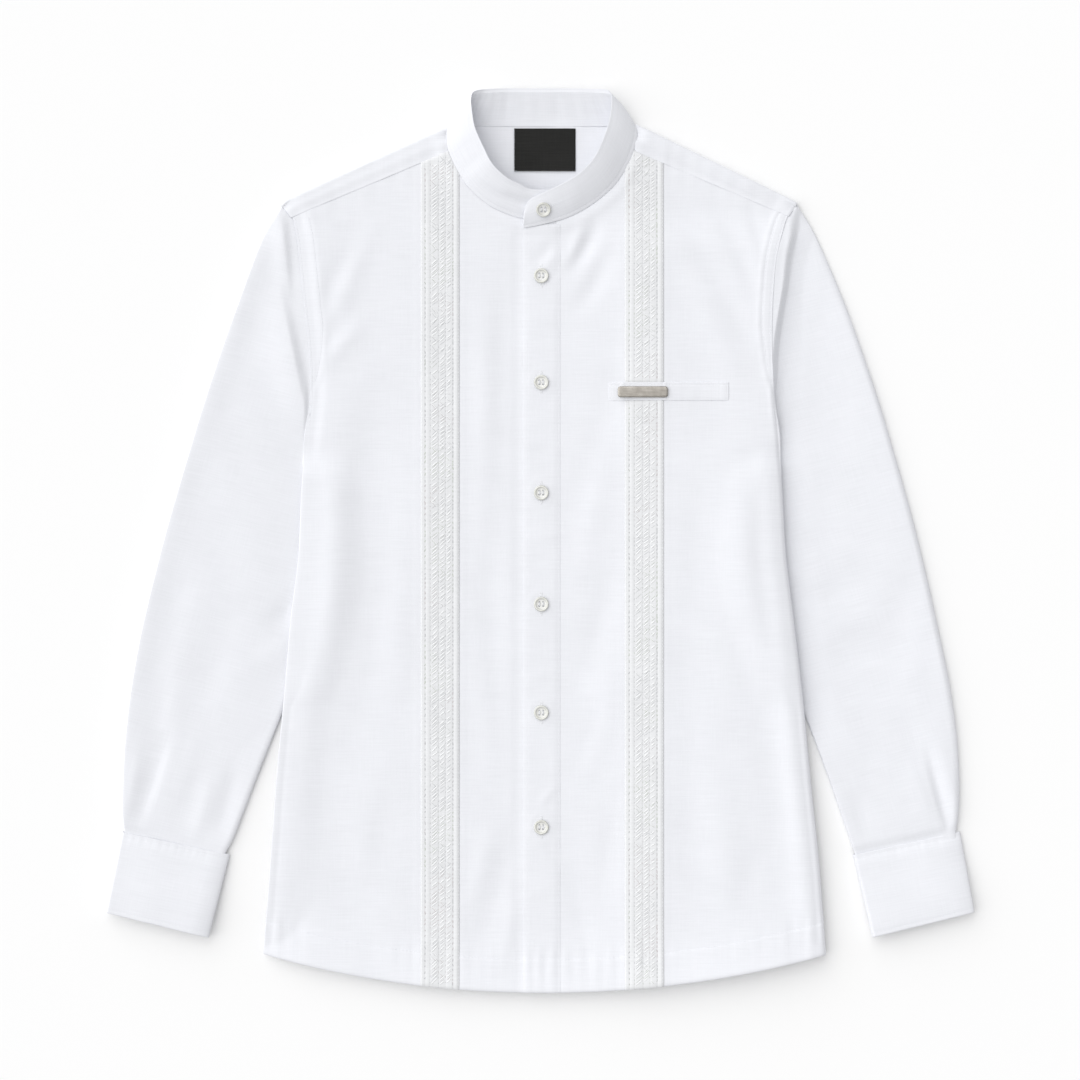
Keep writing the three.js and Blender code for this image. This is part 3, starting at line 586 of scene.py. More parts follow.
PLACKET_FOLDS = [  # short ones between the buttons, nearly level
    Fold(-12, 264, 15, 252, 1, 4, 5, 0.5),
    Fold(-8, 234, 18, 264, 2, 5, 5.5, -0.75),
    Fold(-2, 230, 18, 250, 2, 4, 4.5, 0.6),
    Fold(0, 218, 18, 236, 1, 3, 4, -0.6),
    Fold(-16, 196, 15, 190, -1, 5, 7, 0.35),
    Fold(-14, 172, 16, 176, 1, 5, 6, -0.35),
    Fold(-15, 105, 14, 96, 2, 5, 6, 0.35),
    Fold(-16, 76, 16, 80, -1, 6, 5, -0.4),
    Fold(-15, 6, 16, 0, 1, 6, 5, 0.4),
    Fold(-14, -22, 15, -16, 1, 4, 6, -0.35),
    Fold(-15, -88, 16, -96, 1, 6, 6, -0.4),
    Fold(-15, -120, 16, -116, 2, 5, 6, 0.4),
    Fold(-2, -232, 17, -212, 2, 4, 4, 0.6),
    Fold(-15, -190, 16, -196, 1, 5, 6, -0.35),
    Fold(0, -262, 16, -284, 2, 4, 5, -0.5),
    Fold(-15, -310, 15, -302, 2, 6, 6, 0.4),
]


def yoke_seam_y(x):
    return blended(YOKE_NECK[1], YOKE_ARM[1], (np.abs(x) - YOKE_NECK[0]) / (YOKE_ARM[0] - YOKE_NECK[0]))


def neck_y(x):
    share = share_of(np.abs(x), 0, NECK["half"]) ** NECK["power"]
    return NECK["base"] - NECK["depth"] * (1 - share) ** (1 / NECK["power"])


def upper_seam_y(x, past_neck=0, past_yoke=0):
    """Where a front ends: at the collar's seam or at the yoke's, or past them."""
    return np.where(np.abs(x) < YOKE_NECK[0], neck_y(x) + past_neck, yoke_seam_y(x) + past_yoke)


def from_neck(x, y):
    """Distance outside the neck seam."""
    power = NECK["power"]
    share = (np.abs(x) / NECK["half"]) ** power + (np.maximum(NECK["base"] - y, 0) / NECK["depth"]) ** power
    return (share ** (1 / power) - 1) * NECK["depth"]


def puckers(along, pitch, seed):
    """Uneven gathers along a seam, between 0 and 1."""
    wave = np.sin(2 * math.pi * along / pitch + 1.7 * np.sin(along / (pitch * 1.9) + seed) + seed)
    other = np.sin(2 * math.pi * along / (pitch * 2.7) + 3 * seed)
    return share_of(0.55 * wave + 0.35 * other, -0.8, 0.9)


def fell_wide(x, y):
    """Width of the felled strip, which narrows to nothing above the underarm."""
    return np.where(x > 0, FELL["left"], FELL["right"]) * share_of(y, 132, 186) ** 0.6


def front_top(x, y):
    """The fronts' top face. Strips, buttons and stitches lie on it."""
    from_edge = edge_x(x, y) - np.abs(x)
    in_arm = eased(y, TUCKED_FROM - 16, TUCKED_FROM + 16)
    at_edge = blended(LOFT["side"], LOFT["armhole"], in_arm)
    loft = blended(at_edge, LOFT["middle"], eased(from_edge, -4, 40))
    loft = loft + LOFT["left"] * eased(x, 10, 110) * (1 - 0.8 * eased(y, 250, 290))
    neck = LOFT["neck"] * (1 - share_of(np.hypot(x, y - 330), 0, 150))
    high = lift(x, y) + 2 * PLY + GAP + loft + neck + slack(x, y, 0.25)
    high = high + FOLD_DEPTH * creases(x, y, FRONT_FOLDS) * eased(from_edge, 6, 26)
    # the sides are rolled, the wearer's left one higher
    left = x > 0
    left_roll = 2.3 * line(from_edge - 10, 13) + 1.6 * line(from_edge - 58, 42)
    high = high + np.where(left, left_roll, 0.5 * line(from_edge - 9, 12)) * (1 - in_arm)
    raised = 1.6 * line(from_edge - 4, 30) * (1 - 0.75 * eased(y, 260, 290))
    high = high + np.where(left, raised, 1.2 * eased(from_edge, 5, 15) * line(from_edge - 15, 26)) * in_arm
    dip = (1 - share_of(from_edge, 0, np.where(left, 22, 4))) ** 2
    high = high - np.where(left, 1.0, 0.3) * dip * (1 - in_arm)
    high = high - np.where(left, 1.8, 0) * (1 - share_of(from_edge, 0, 3.5)) ** 2 * (1 - eased(y, 120, 150))
    # felled armhole seam: two rows of stitches with a ridge beside them
    fell = eased(y, UNDERARM + 2, UNDERARM + 22)
    inner = fell_wide(x, y)
    fell = fell * np.where(left, 1, 0.5)
    strip = 0.3 * (1 - eased(from_edge, inner - 0.6, inner + 0.8))
    high = high + fell * (strip - 0.2 * line(from_edge - FELL_STITCH, 0.6))
    ridge = 0.45 * line(from_edge - inner - 3.4, 2.4) * (0.6 + 0.6 * puckers(y, 17, 0.4))
    high = high + fell * (ridge - 0.25 * line(from_edge - inner, 0.7))
    # the hem's turned layers, drawn up at the stitches
    from_hem = y - hem_y(x)
    gather = puckers(x, 11.5, 1.1) - 0.5
    above = from_hem - HEM["fold"]
    near = line(above, 9) + 0.75 * share_of(-above, 0, 8) * (1 - 0.5 * share_of(-above, 8, 28))
    strength = 0.55 + 0.45 * np.sin(x / 47 + 0.8) ** 2
    high = high + 0.8 * gather * np.minimum(near, 1) * strength
    high = high + 0.3 * (1 - eased(from_hem, HEM["fold"] - 0.5, HEM["fold"] + 1.1)) - 0.25 * line(above, 0.8)
    high = high - 1.0 * (1 - share_of(from_hem, 0, 3)) ** 2
    # drawn up to the collar's seam, and pressed down along the placket's free edge
    pressed = 0.55 * line(x - PLACKET["free"] + 4.4, 3.2) * (1 - eased(y, 262, 280))
    high = high + 0.9 * line(from_neck(x, y) - 5, 4.5) - pressed
    # drawn up beside the bands of lace
    for inner, outer in BANDS.values():
        beside = np.minimum(np.abs(x - inner), np.abs(x - outer))
        drawn = 0.38 * line(beside - 1.7, 1.8) * (0.4 + 0.8 * puckers(y, 9, inner))
        high = high + np.where((x < inner) | (x > outer), drawn, 0)
    # gathers under the yoke's seam
    below = yoke_seam_y(x) - y
    high = high + 0.4 * (puckers(x, 15, 2.2) - 0.4) * line(below - 5, 9) * (np.abs(x) > 80)
    return high


SIDE_STEPS = [0, 0.5, 1.1, 1.7, 2.4, 3.4, 4.6, 6, 7.2, 8.1, 8.8, 9.8, 11.2, 12.4, 13.4, 14.2, 15.2, 16.8, 18.8]
HEM_STEPS = [0, 0.7, 1.6, 2.8, 4.6, 7, 9.6, 12.2, 14.8, 17.4, 20, 22.4, 24.4, 25.9, 26.9, 27.5, 28, 28.5, 29.2]
HEM_STEPS += [30.2, 32, 34.4, 37.2, 40, 43, 46, 49, 52, 55, 58.5, 62]
SIDE_STEPS, HEM_STEPS = np.array(SIDE_STEPS), np.array(HEM_STEPS)
FRONT_HALF, UPPER_ROWS = 210, 188  # the fronts' nominal half width, and their rows above the hem


def front_panel(side, inner):
    """A front's grid of points, from its hem up and from its side to its inner edge."""
    sign = -1 if side == "right" else 1
    inward = np.linspace(SIDE_STEPS[-1] + 3, FRONT_HALF - sign * inner, 60)
    nominal = FRONT_HALF - np.concatenate([SIDE_STEPS, inward])
    x = np.broadcast_to(nominal, (HEM_STEPS.size + UPPER_ROWS, nominal.size)).astype(float)
    up = np.linspace(0, 1, UPPER_ROWS + 1)[1:, None]
    for _ in range(5):
        signed = sign * x
        end, hem = upper_seam_y(signed[-1], 2.5, 3), hem_y(signed)
        low, body = hem[: HEM_STEPS.size] + HEM_STEPS[:, None], hem[HEM_STEPS.size :] + HEM_STEPS[-1]
        y = np.concatenate([low, blended(body, end, up)])
        covers = 1.8 * line(y - 88, 22)  # over the gap at the underarm
        x = nominal + eased(nominal, 112, 188) * (edge_x(signed, y) + covers - FRONT_HALF)
    return laid_on(front_top, sign * x, y)


for side, inner, wide, area in (("right", 13, 0.262, 0.148), ("left", 13.3, 0.236, 0.133)):
    face = front_panel(side, inner)
    wall = np.full(face.shape[1], CLOTH)
    wall[: SIDE_STEPS.size] = blended(0.12, CLOTH, eased(SIDE_STEPS, 0, 3))
    wall = wall[:, None] * (1 if side == "left" else -1)
    lining = along_normal(face, wall)
    # below the armhole the edge turns down to the back's edge, and over the underarm to the sleeve
    x, y = face[..., 0], face[..., 1]
    to_back = lift(x, y) - 0.6 + CLOTH + GAP
    down = blended(to_back, TUCKED_HIGH[side] + 0.5, eased(y, TUCKED_FROM - 8, TUCKED_FROM + 4))
    down = blended(down, HEAD_HIGH[side] - 0.4, eased(y, UNDERARM - 10, UNDERARM + 26))
    turned = np.concatenate([1 - eased(SIDE_STEPS, 0.3, 3), np.zeros(face.shape[1] - SIDE_STEPS.size)])
    turned = turned * (1 - eased(y, UNDERARM + 8, UNDERARM + 30))
    lining[..., 2] = blended(lining[..., 2], np.minimum(lining[..., 2], down), turned)
    piece = sew(f"front_{side}", face, lining, face[..., :2], white_cotton)
    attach(piece, "root")
    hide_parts(f"front_{side}")

# ---- Lace bands ----
# Woven tapes of cotton lace let in down both fronts. Each has two columns of dashes, three lanes of slanted
# threads between sunk lines, and plain selvedges that are stitched down. The left one stops at the welt.
BAND_WIDE = 33.6
SUNK_LINES = (8.2, 15.6, 21.6)  # from the band's left selvedge
DASHES = {3.7: 4.6, 27.8: 3.9}  # where each column is, and its pitch
# The dark dashes are painted shade of the holes and grooves in the columns and sunk lines.
DASH_ROWS = [(at, 2.6, pitch, 0.95) for at, pitch in DASHES.items()]  # where, how long, pitch, width
DASH_ROWS += [(at, 1.7, 4.4, 0.62) for at in SUNK_LINES]
LANES = [(9.0, 15.1, 5.0, 4.3), (16.2, 21.2, 3.8, 3.7), (22.3, 26.6, 3.2, 5.1)]  # from, to, climb, pitch
# Painted shade across the tape: darker at its sunk lines, its dash columns and its selvedges, where shade falls.
TAPE_SHADE_TONES = [  # across the band: where, and how light
    (0.0, 0.90), (0.6, 1.0), (2.9, 1.0), (3.3, 0.93), (4.1, 0.93), (4.6, 1.0), (7.7, 0.99), (8.2, 0.84),
    (8.7, 0.96), (15.1, 0.96), (15.6, 0.85), (16.1, 0.96), (21.2, 0.97), (21.6, 0.87), (22.0, 0.98),
    (26.9, 0.97), (27.5, 0.90), (28.2, 0.90), (28.8, 1.0), (31.6, 1.02), (32.2, 0.80), (33.0, 0.86),
]


def ramp(tree, value, stops, blend="LINEAR"):
    """A run of colours through stops, each a place and a colour."""
    color = add(tree, "ShaderNodeValToRGB", {"Fac": value})
    tones = color.node.color_ramp
    tones.interpolation = blend
    tones.elements.remove(tones.elements[-1])
    for i, (place, tone) in enumerate(stops):
        stop = tones.elements.new(place) if i else tones.elements[0]
        stop.position = place
        stop.color = (*tone, 1)
    return color


def lace_tape():
    """Cotton tape, greyer and warmer where it is sunk or open between the threads: painted shade, also along its
    selvedges.
    """
    finish = shirting("lace_tape", (0.828, 0.836, 0.852), 0.07)
    tree = finish.node_tree
    cloth = tree.nodes["Principled BSDF"]
    weave = add(tree, "ShaderNodeUVMap", uv_map="weave")
    across = spread(tree, add(tree, "ShaderNodeSeparateXYZ", {"Vector": weave}), 0, 1, 0, BAND_WIDE * 0.001)
    # painted shade along the sunk lines, dash columns and selvedges
    tones = ramp(tree, across, [(off / BAND_WIDE, (tone, tone, tone)) for off, tone in TAPE_SHADE_TONES], "EASE")
    plain = cloth.inputs["Base Color"].links[0].from_socket
    both = {"Factor": 1, 6: plain, 7: tones}
    shaded = add(tree, "ShaderNodeMix", both, output=2, data_type="RGBA", blend_type="MULTIPLY")
    feed(tree, cloth, {"Base Color": shaded})
    return finish


def sewing_thread(name, color, rough):
    """Twisted thread: plies wound round it show as fine slanted streaks."""
    finish, tree, yarn = new_finish(name)
    twist = noise(tree, add(tree, "ShaderNodeTexCoord", output="Object"), 900, 2)
    look = {"Roughness": rough, "Specular IOR Level": 0.3, "Sheen Weight": 0.1}
    look["Base Color"] = tinted(tree, color, spread(tree, twist, 0.9, 1.08))
    look["Normal"] = embossed(tree, twist, 0.4, 0.0001)
    feed(tree, yarn, look)
    return finish


lace_white = lace_tape()
lace_thread = sewing_thread("lace_thread", (0.86, 0.868, 0.875), 0.7)
white_thread = sewing_thread("white_thread", (0.86, 0.87, 0.90), 0.6)


def thread_tree(name, sizes):
    """A node tree that is given its geometry, its named sizes and its thread."""
    tree = bpy.data.node_groups.new(name, "GeometryNodeTree")
    given = [("Geometry", "Geometry"), *((size, "Float") for size in sizes), ("Thread", "Material")]
    for label, kind in given:
        tree.interface.new_socket(label, in_out="INPUT", socket_type=f"NodeSocket{kind}")
    tree.interface.new_socket("Geometry", in_out="OUTPUT", socket_type="NodeSocketGeometry")
    return tree, tree.nodes.new("NodeGroupInput").outputs


def bobbin(tree, long, wide, high):
    """One laid stitch: a spindle along X, of these sizes."""
    spindle = add(tree, "GeometryNodeMeshUVSphere", {"Segments": 6, "Rings": 5, "Radius": 0.5})
    lying = add(tree, "GeometryNodeTransform", {"Geometry": spindle, "Rotation": (0, math.pi / 2, 0)})
    size = add(tree, "ShaderNodeCombineXYZ", {"X": long, "Y": wide, "Z": high})
    sized = add(tree, "GeometryNodeTransform", {"Geometry": lying, "Scale": size})
    return add(tree, "GeometryNodeSetShadeSmooth", {"Geometry": sized})


def realized(tree, instances, thread):
    """Ends a tree: its instances become one mesh of a thread."""
    mesh = add(tree, "GeometryNodeRealizeInstances", {"Geometry": instances})
    dressed = add(tree, "GeometryNodeSetMaterial", {"Geometry": mesh, "Material": thread})
    feed(tree, tree.nodes.new("NodeGroupOutput"), {"Geometry": dressed})
    return tree


def laid_threads_tree():
    """A spindle on each point, turned, tilted and sized by the point's own attributes."""
    tree, given = thread_tree("laid_threads", ["Height"])

    def own(label):
        return add(tree, "GeometryNodeInputNamedAttribute", {"Name": label}, data_type="FLOAT")

    placing = {
        "Points": given["Geometry"],
        "Instance": bobbin(tree, 1, 1, given["Height"]),
        "Rotation": add(tree, "ShaderNodeCombineXYZ", {"Y": own("tilt"), "Z": own("turn")}),
        "Scale": add(tree, "ShaderNodeCombineXYZ", {"X": own("long"), "Y": own("wide"), "Z": 1}),
    }
    return realized(tree, add(tree, "GeometryNodeInstanceOnPoints", placing), given["Thread"])


def stitch_run_tree():
    """Even stitches along seam lines: each line is walked at a pitch, and a spindle laid at each step."""
    tree, given = thread_tree("stitch_run", ["Stitch", "Gap", "Thickness"])
    path = add(tree, "GeometryNodeMeshToCurve", {"Mesh": given["Geometry"]})
    pitch = add(tree, "ShaderNodeMath", {0: given["Stitch"], 1: given["Gap"]})
    ahead = {"Vector": add(tree, "GeometryNodeInputTangent")}
    placing = {
        "Points": add(tree, "GeometryNodeResampleCurve", {"Curve": path, "Length": pitch}, mode="LENGTH"),
        "Instance": bobbin(tree, given["Stitch"], given["Thickness"], given["Thickness"]),
        "Rotation": add(tree, "FunctionNodeAlignRotationToVector", ahead, axis="X"),
    }
    return realized(tree, add(tree, "GeometryNodeInstanceOnPoints", placing), given["Thread"])


laid_threads, stitch_run = laid_threads_tree(), stitch_run_tree()


def worked(piece, tree, thread, **sizes):
    """Runs a thread tree on a piece and keeps its plain mesh, which rides with the shirt."""
    job = piece.modifiers.new("threads", "NODES")
    job.node_group = tree
    given = {"Thread": thread, **{label: size * 0.001 for label, size in sizes.items()}}
    for item in tree.interface.items_tree:
        if item.in_out == "INPUT" and item.name in given:
            job[item.identifier] = given[item.name]
    bpy.context.view_layer.update()
    ready = piece.evaluated_get(bpy.context.evaluated_depsgraph_get())
    mesh = bpy.data.meshes.new_from_object(ready)
    piece.modifiers.clear()
    piece.data = mesh
    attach(piece, "root")
    return piece


def lay_threads(name, threads, surface, thread, high):
    """Threads on a surface. Each row holds both ends in x and y, and the thread's width."""
    x0, y0, x1, y1, wide = np.array(threads, float).T
    x, y, dx, dy = (x0 + x1) / 2, (y0 + y1) / 2, x1 - x0, y1 - y0
    long = np.hypot(dx, dy)
    rise = surface(x + dx * 0.4, y + dy * 0.4) - surface(x - dx * 0.4, y - dy * 0.4)
    piece = make(name, laid_on(surface, x, y) * 0.001)
    for label, values in (
        ("turn", np.arctan2(dy, dx)),
        ("tilt", -np.arctan2(rise, long * 0.8)),
        ("long", long * 0.001),
        ("wide", wide * 0.001),
    ):
        values = values.astype(np.float32)
        piece.data.attributes.new(label, "FLOAT", "POINT").data.foreach_set("value", values)
    return worked(piece, laid_threads, thread, Height=high)


def run_stitches(name, paths, stitch=2.3, gap=0.8, thick=0.36):
    """Rows of stitches along seam lines, each an array of points that the thread is half sunk on."""
    points, edges = [], []
    for path in paths:
        edges += [(len(points) + i, len(points) + i + 1) for i in range(len(path) - 1)]
        points += (np.asarray(path) * 0.001).tolist()
    piece = make(name, points, edges)
    return worked(piece, stitch_run, white_thread, Stitch=stitch, Gap=gap, Thickness=thick)


def band_top(left):
    """The face of a band, from its left selvedge."""

    def high(x, y):
        off = x - left
        relief = 0.42 * eased(off, -0.2, 1.2) * eased(BAND_WIDE - off, -0.2, 1.2)
        for at in SUNK_LINES:
            relief = relief - 0.16 * line(off - at, 0.5)
        for at in DASHES:
            relief = relief - 0.12 * line(off - at, 0.8)
        relief = relief + 0.1 * line(off - 5.9, 1.2) + 0.12 * line(off - 30.4, 1.0)
        return front_top(x, y) + 0.4 + relief - 0.2 * line(off - 32.2, 0.5)

    return high


def shade_and_tint_thread():
    """The darker threads of the lace, which stand in for the shade in its gaps, holes and sunk lines: painted
    shade in grey, here and there tinted warm and elsewhere green.
    """
    finish = sewing_thread("lace_shade_thread", (1, 1, 1), 0.75)
    tree = finish.node_tree
    shade = next(node for node in tree.nodes if node.bl_idname == "ShaderNodeVectorMath")
    cloud = noise(tree, add(tree, "ShaderNodeTexCoord", output="Object"), 26, 1)
    tones = [(0.36, (0.60, 0.555, 0.56)), (0.46, (0.56, 0.57, 0.59))]
    tones += [(0.55, (0.56, 0.57, 0.58)), (0.64, (0.56, 0.60, 0.53))]
    feed(tree, shade, {0: ramp(tree, cloud, tones)})
    return finish


lace_shade_thread = shade_and_tint_thread()
BAND_PIECES = {
    "band_right": (BANDS["right"][0], None, None),
    "band_left_lower": (BANDS["left"][0], None, WELT["low"] - GAP),
    "band_left_upper": (BANDS["left"][0], WELT["high"] + GAP, None),
}
for name, (left, low, high) in BAND_PIECES.items():
    surface = band_top(left)
    off = np.linspace(0, BAND_WIDE, 62)
    x = left + off[None, :]
    bottom = hem_y(x) if low is None else low + 0 * x
    crown = upper_seam_y(x, 2, -GAP) if high is None else high + 0 * x
    y = blended(bottom, crown, np.linspace(0, 1, int((crown.max() - bottom.min()) / 2.6))[:, None])
    x = x + 0 * y
    weave = np.stack([x - left, y], -1)
    piece = sew(name, laid_on(surface, x, y), laid_on(front_top, x, y, 0.12), weave, lace_white)
    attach(piece, "root")
    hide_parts(name)
    tall = float((crown - bottom).mean())

    # the threads worked into it: slants in each lane, some missing, some crossing back, and darker threads
    # between them and down the dash columns and sunk lines, which are painted shade
    chance = np.random.default_rng(7 if left < 0 else 11)
    pale, dark = [], []
    low_y, high_y = float(bottom.min()), float(crown.max())
    for start, stop, climb, pitch in LANES:
        foot = low_y
        while foot < high_y:
            foot += pitch * (0.8 + 0.4 * chance.random())
            reach, kind = climb * (0.8 + 0.4 * chance.random()), chance.random()
            a, b = left + start + 0.4 * chance.random(), left + stop - 0.4 * chance.random()
            if kind < 0.14:
                pale.append((a, foot + reach, b, foot, 1.0))
            elif kind < 0.9:
                pale.append((a, foot, b, foot + reach, 1.25 + 0.4 * chance.random()))
            if kind > 0.45:
                dark.append((a, foot + 0.45 * pitch, b, foot + reach + 0.45 * pitch, 0.42))
            elif kind < 0.24:
                dark.append((a, foot + 0.9 * reach, a + 0.7 * (b - a), foot, 0.4))
    # dark dashes down the columns and sunk lines: painted shade
    for at, long, pitch, wide in DASH_ROWS:
        foot = low_y
        while foot < high_y:
            foot += pitch * (0.7 + 0.6 * chance.random())
            lean, tall = 0.35 * chance.standard_normal(), long * (0.6 + 0.8 * chance.random())
            thick = wide * (0.8 + 0.4 * chance.random())
            dark.append((left + at - lean, foot, left + at + lean, foot + tall, thick))
    for threads, thread, label, thick in ((pale, lace_thread, "threads", 0.42), (dark, lace_shade_thread, "shade_threads", 0.3)):
        rows = np.array(threads)
        middle = (rows[:, 0] + rows[:, 2]) / 2
        lower = hem_y(middle) if low is None else low
        upper = upper_seam_y(middle, 1) if high is None else high
        keep = np.minimum(rows[:, 1], rows[:, 3]) > lower + 1.5
        keep &= np.maximum(rows[:, 1], rows[:, 3]) < upper - 1.2
        worked_in = lay_threads(f"{label}_{name[5:]}", rows[keep], surface, thread, thick)

# ---- Placket ----
# A folded strip down the left front's edge, laid over the right front. Both its edges are pressed and stitched,
# and six upright buttonholes are worked through it, under the buttons.
def placket_top(x, y):
    off_free, off_seam = x - PLACKET["free"], PLACKET["seam"] - x
    high = front_top(x, y) + GAP + PLACKET["ply"] - 0.5 + 0.8 * creases(x, y, PLACKET_FOLDS)
    high = high - 0.5 * (1 - eased(off_seam, -0.5, 6)) - 0.08 * line(off_seam - 1.5, 0.5)
    high = high - 0.08 * line(off_free - 3.6, 0.6) - 0.4 * (1 - eased(off_free, -0.6, 5))
    for button_y in BUTTON_HEIGHTS:  # held down round each button, with the cloth rising just outside
        near = np.hypot(x - BUTTON_X, (y - button_y) * 0.85)
        high = high - 0.2 * line(near, 5) + 0.18 * line(near - 9.5, 2.4)
    return high


HoleSide = namedtuple("HoleSide", "off_x off_y half reach")
HOLE_SIDES = [  # two long sides and the bars across the ends, each a ladder of stitches
    HoleSide(-0.75, 0, 0.62, 8.6),
    HoleSide(0.75, 0, 0.62, 8.6),
    HoleSide(0, -9, 1.5, 0.9),
    HoleSide(0, 9, 1.5, 0.9),
]
HOLE_PITCH = 0.42
free_edge, seam_edge = [0, 0.35, 0.8, 1.3, 1.9, 2.6, 3.2, 3.9], [28.6, 29.4, 30.1, 30.7, 31.3, 31.8, 32.2]
off = np.concatenate([free_edge, np.linspace(4.8, 27.6, 20), seam_edge])
x = (PLACKET["free"] + off)[None, :]
start, hem_run = hem_y(x), HEM_STEPS[-1]
rows = hem_run + (PLACKET["top"] - start.mean() - hem_run) * np.linspace(0, 1, 260)[1:]
rows = np.concatenate([HEM_STEPS, rows])[:, None]
face = laid_on(placket_top, x, start + rows * (PLACKET["top"] - start) / rows[-1])
from_edges = np.minimum(eased(off, 0, 4), eased(PLACKET["seam"] - PLACKET["free"] - off, 0, 4))
wall = 0.12 + 0.43 * from_edges[None, :, None]
placket = sew("placket", face, along_normal(face, -wall), face[..., :2], white_cotton)
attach(placket, "root")
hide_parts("placket")

lines = []
for at in (PLACKET["free"] + 3.6, PLACKET["seam"] - 1.5):
    lines.append(laid_on(placket_top, at, np.linspace(HEM["low"] + 1, PLACKET["top"] - 4, 260), -0.02))
x = np.linspace(PLACKET["free"] + 4, PLACKET["seam"] - 2, 30)
lines.append(laid_on(placket_top, x, hem_y(x) + HEM["fold"], -0.02))
seam = run_stitches("stitches_placket", lines)

holes = []
for button_y in BUTTON_HEIGHTS:
    for side in HOLE_SIDES:
        x = BUTTON_X + side.off_x
        for y in button_y + side.off_y + np.arange(-side.reach, side.reach + 0.1, HOLE_PITCH):
            holes.append((x - side.half, y, x + side.half, y, 0.5))
holes = lay_threads("buttonholes", holes, placket_top, white_thread, 0.26)

# ---- Pocket welt and badge ----
# A folded welt of the same cotton over the breast pocket's mouth, stitched at its ends and its upper edge, with
# a small brushed metal badge riveted through it from behind. The badge is plain.
BADGE = {"x": 88.2, "y": 128.7, "long": 43.6, "wide": 9.6, "corner": 2.6}
# how far in from its outline, and how high, up its wall and over its rounded edge
BADGE_RINGS = [(0.35, 0), (0, 0.3), (0, 1.0), (0.2, 1.3), (0.6, 1.5), (1.2, 1.58), (2.2, 1.6), (3.6, 1.6)]


def welt_top(x, y):
    off_end = np.minimum(x - WELT["inner"], WELT["outer"] - x)
    off_top, off_low = WELT["high"] - y, y - WELT["low"]
    high = front_top(x, y) + GAP + WELT["ply"] + 0.14 * (puckers(x, 14, 0.3) - 0.5)
    # it lies over the band, and settles beside it
    high = high + 0.35 * eased(x, 69, 75) * (1 - eased(x, 103, 109))
    high = high - 0.14 * line(off_end - 2.2, 0.55) - 0.12 * line(off_end - 8, 0.5)
    high = high - 0.18 * line(off_top - 2, 0.55)
    return high - 0.3 * (1 - eased(off_low, -0.3, 3.4)) - 0.3 * (1 - eased(off_end, -0.3, 3.4))


x = np.linspace(WELT["inner"], WELT["outer"], 132)[None, :]
y = np.linspace(WELT["low"], WELT["high"], 34)[:, None]
face = laid_on(welt_top, x, y)
rim = np.minimum(np.minimum(x - WELT["inner"], WELT["outer"] - x), y - WELT["low"])
wall = (0.1 + 0.3 * eased(rim, 0, 3))[..., None]
welt = sew("pocket_welt", face, along_normal(face, -wall), face[..., :2], white_cotton)
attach(welt, "root")
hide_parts("pocket_welt")

lines = []
for at in (WELT["inner"] + 2.2, WELT["inner"] + 8, WELT["outer"] - 8, WELT["outer"] - 2.2):
    lines.append(laid_on(welt_top, at, np.linspace(WELT["low"] + 1, WELT["high"] - 1.5, 12), -0.02))
x = np.linspace(WELT["inner"] + 2.2, WELT["outer"] - 2.2, 90)
lines.append(laid_on(welt_top, x, WELT["high"] - 2, -0.02))
seam = run_stitches("stitches_welt", lines)


def outline_rings(rings, name, finish):
    """A closed hard piece from rings of points, lowest first, with its ends closed."""
    count = len(rings[0])
    middles = [np.mean(ring, axis=0) for ring in (rings[0], rings[-1])]
    points = [*(point for ring in rings for point in ring), *middles]
    faces = [
        (r * count + i, r * count + (i + 1) % count, (r + 1) * count + (i + 1) % count, (r + 1) * count + i)
        for r in range(len(rings) - 1)
        for i in range(count)
    ]
    last = (len(rings) - 1) * count
    faces += [((i + 1) % count, i, len(points) - 2) for i in range(count)]
    faces += [(last + i, last + (i + 1) % count, len(points) - 1) for i in range(count)]
    return make(name, np.array(points) * 0.001, faces=faces, finish=finish)


def brushed_nickel():
    """Warm nickel, brushed along the badge, with fine uneven strokes in its tone and roughness."""
    finish, tree, metal = new_finish("brushed_nickel")
    place = add(tree, "ShaderNodeTexCoord", output="Object")
    strokes = noise(tree, stretched(tree, place, (60, 3200, 400)), 1, 3)
    both = mixed(tree, strokes, noise(tree, place, 160, 2), 0.4)
    look = {"Metallic": 1, "Roughness": spread(tree, strokes, 0.28, 0.5)}
    look["Base Color"] = ramp(tree, both, [(0.3, (0.27, 0.247, 0.22)), (0.7, (0.57, 0.54, 0.495))])
    look["Normal"] = embossed(tree, strokes, 0.35, 0.00005)
    feed(tree, metal, look)
    return finish


def badge_ring(inset, z):
    """The badge's outline, a bar with rounded corners."""
    half, tall = BADGE["long"] / 2 - inset, BADGE["wide"] / 2 - inset
    corner = max(BADGE["corner"] - inset, 0.4)
    ring = []
    for sx, sy, start in ((1, 1, 0), (-1, 1, 90), (-1, -1, 180), (1, -1, 270)):
        for step in range(7):
            angle = math.radians(start + 15 * step)
            x = BADGE["x"] + sx * (half - corner) + corner * math.cos(angle)
            ring.append((x, BADGE["y"] + sy * (tall - corner) + corner * math.sin(angle), z))
    return ring


# it sits on the welt's highest point under it
seat = float(welt_top(np.linspace(67, 109, 30)[None, :], np.linspace(124, 133, 9)[:, None]).max()) + 0.15
badge = outline_rings([badge_ring(inset, seat + z) for inset, z in BADGE_RINGS], "badge", brushed_nickel())
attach(badge, "root")
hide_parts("badge")

# ---- Yoke ----
# One doubled panel over the shoulders. In front its pressed edge is laid on the fronts. It turns over the
# shoulders in a soft fold and runs on behind, under the neck, to the back's seam.
SHOULDER_NECK = {-1: np.array([80.6, 360.2]), 1: np.array([82.6, 360.8])}
SHOULDER_ARM = {-1: np.array([226.0, 294.4]), 1: np.array([222.4, 293.0])}
YOKE_PLY = 0.9
NECK_SEAM = 361.5  # its upper edge behind the neck


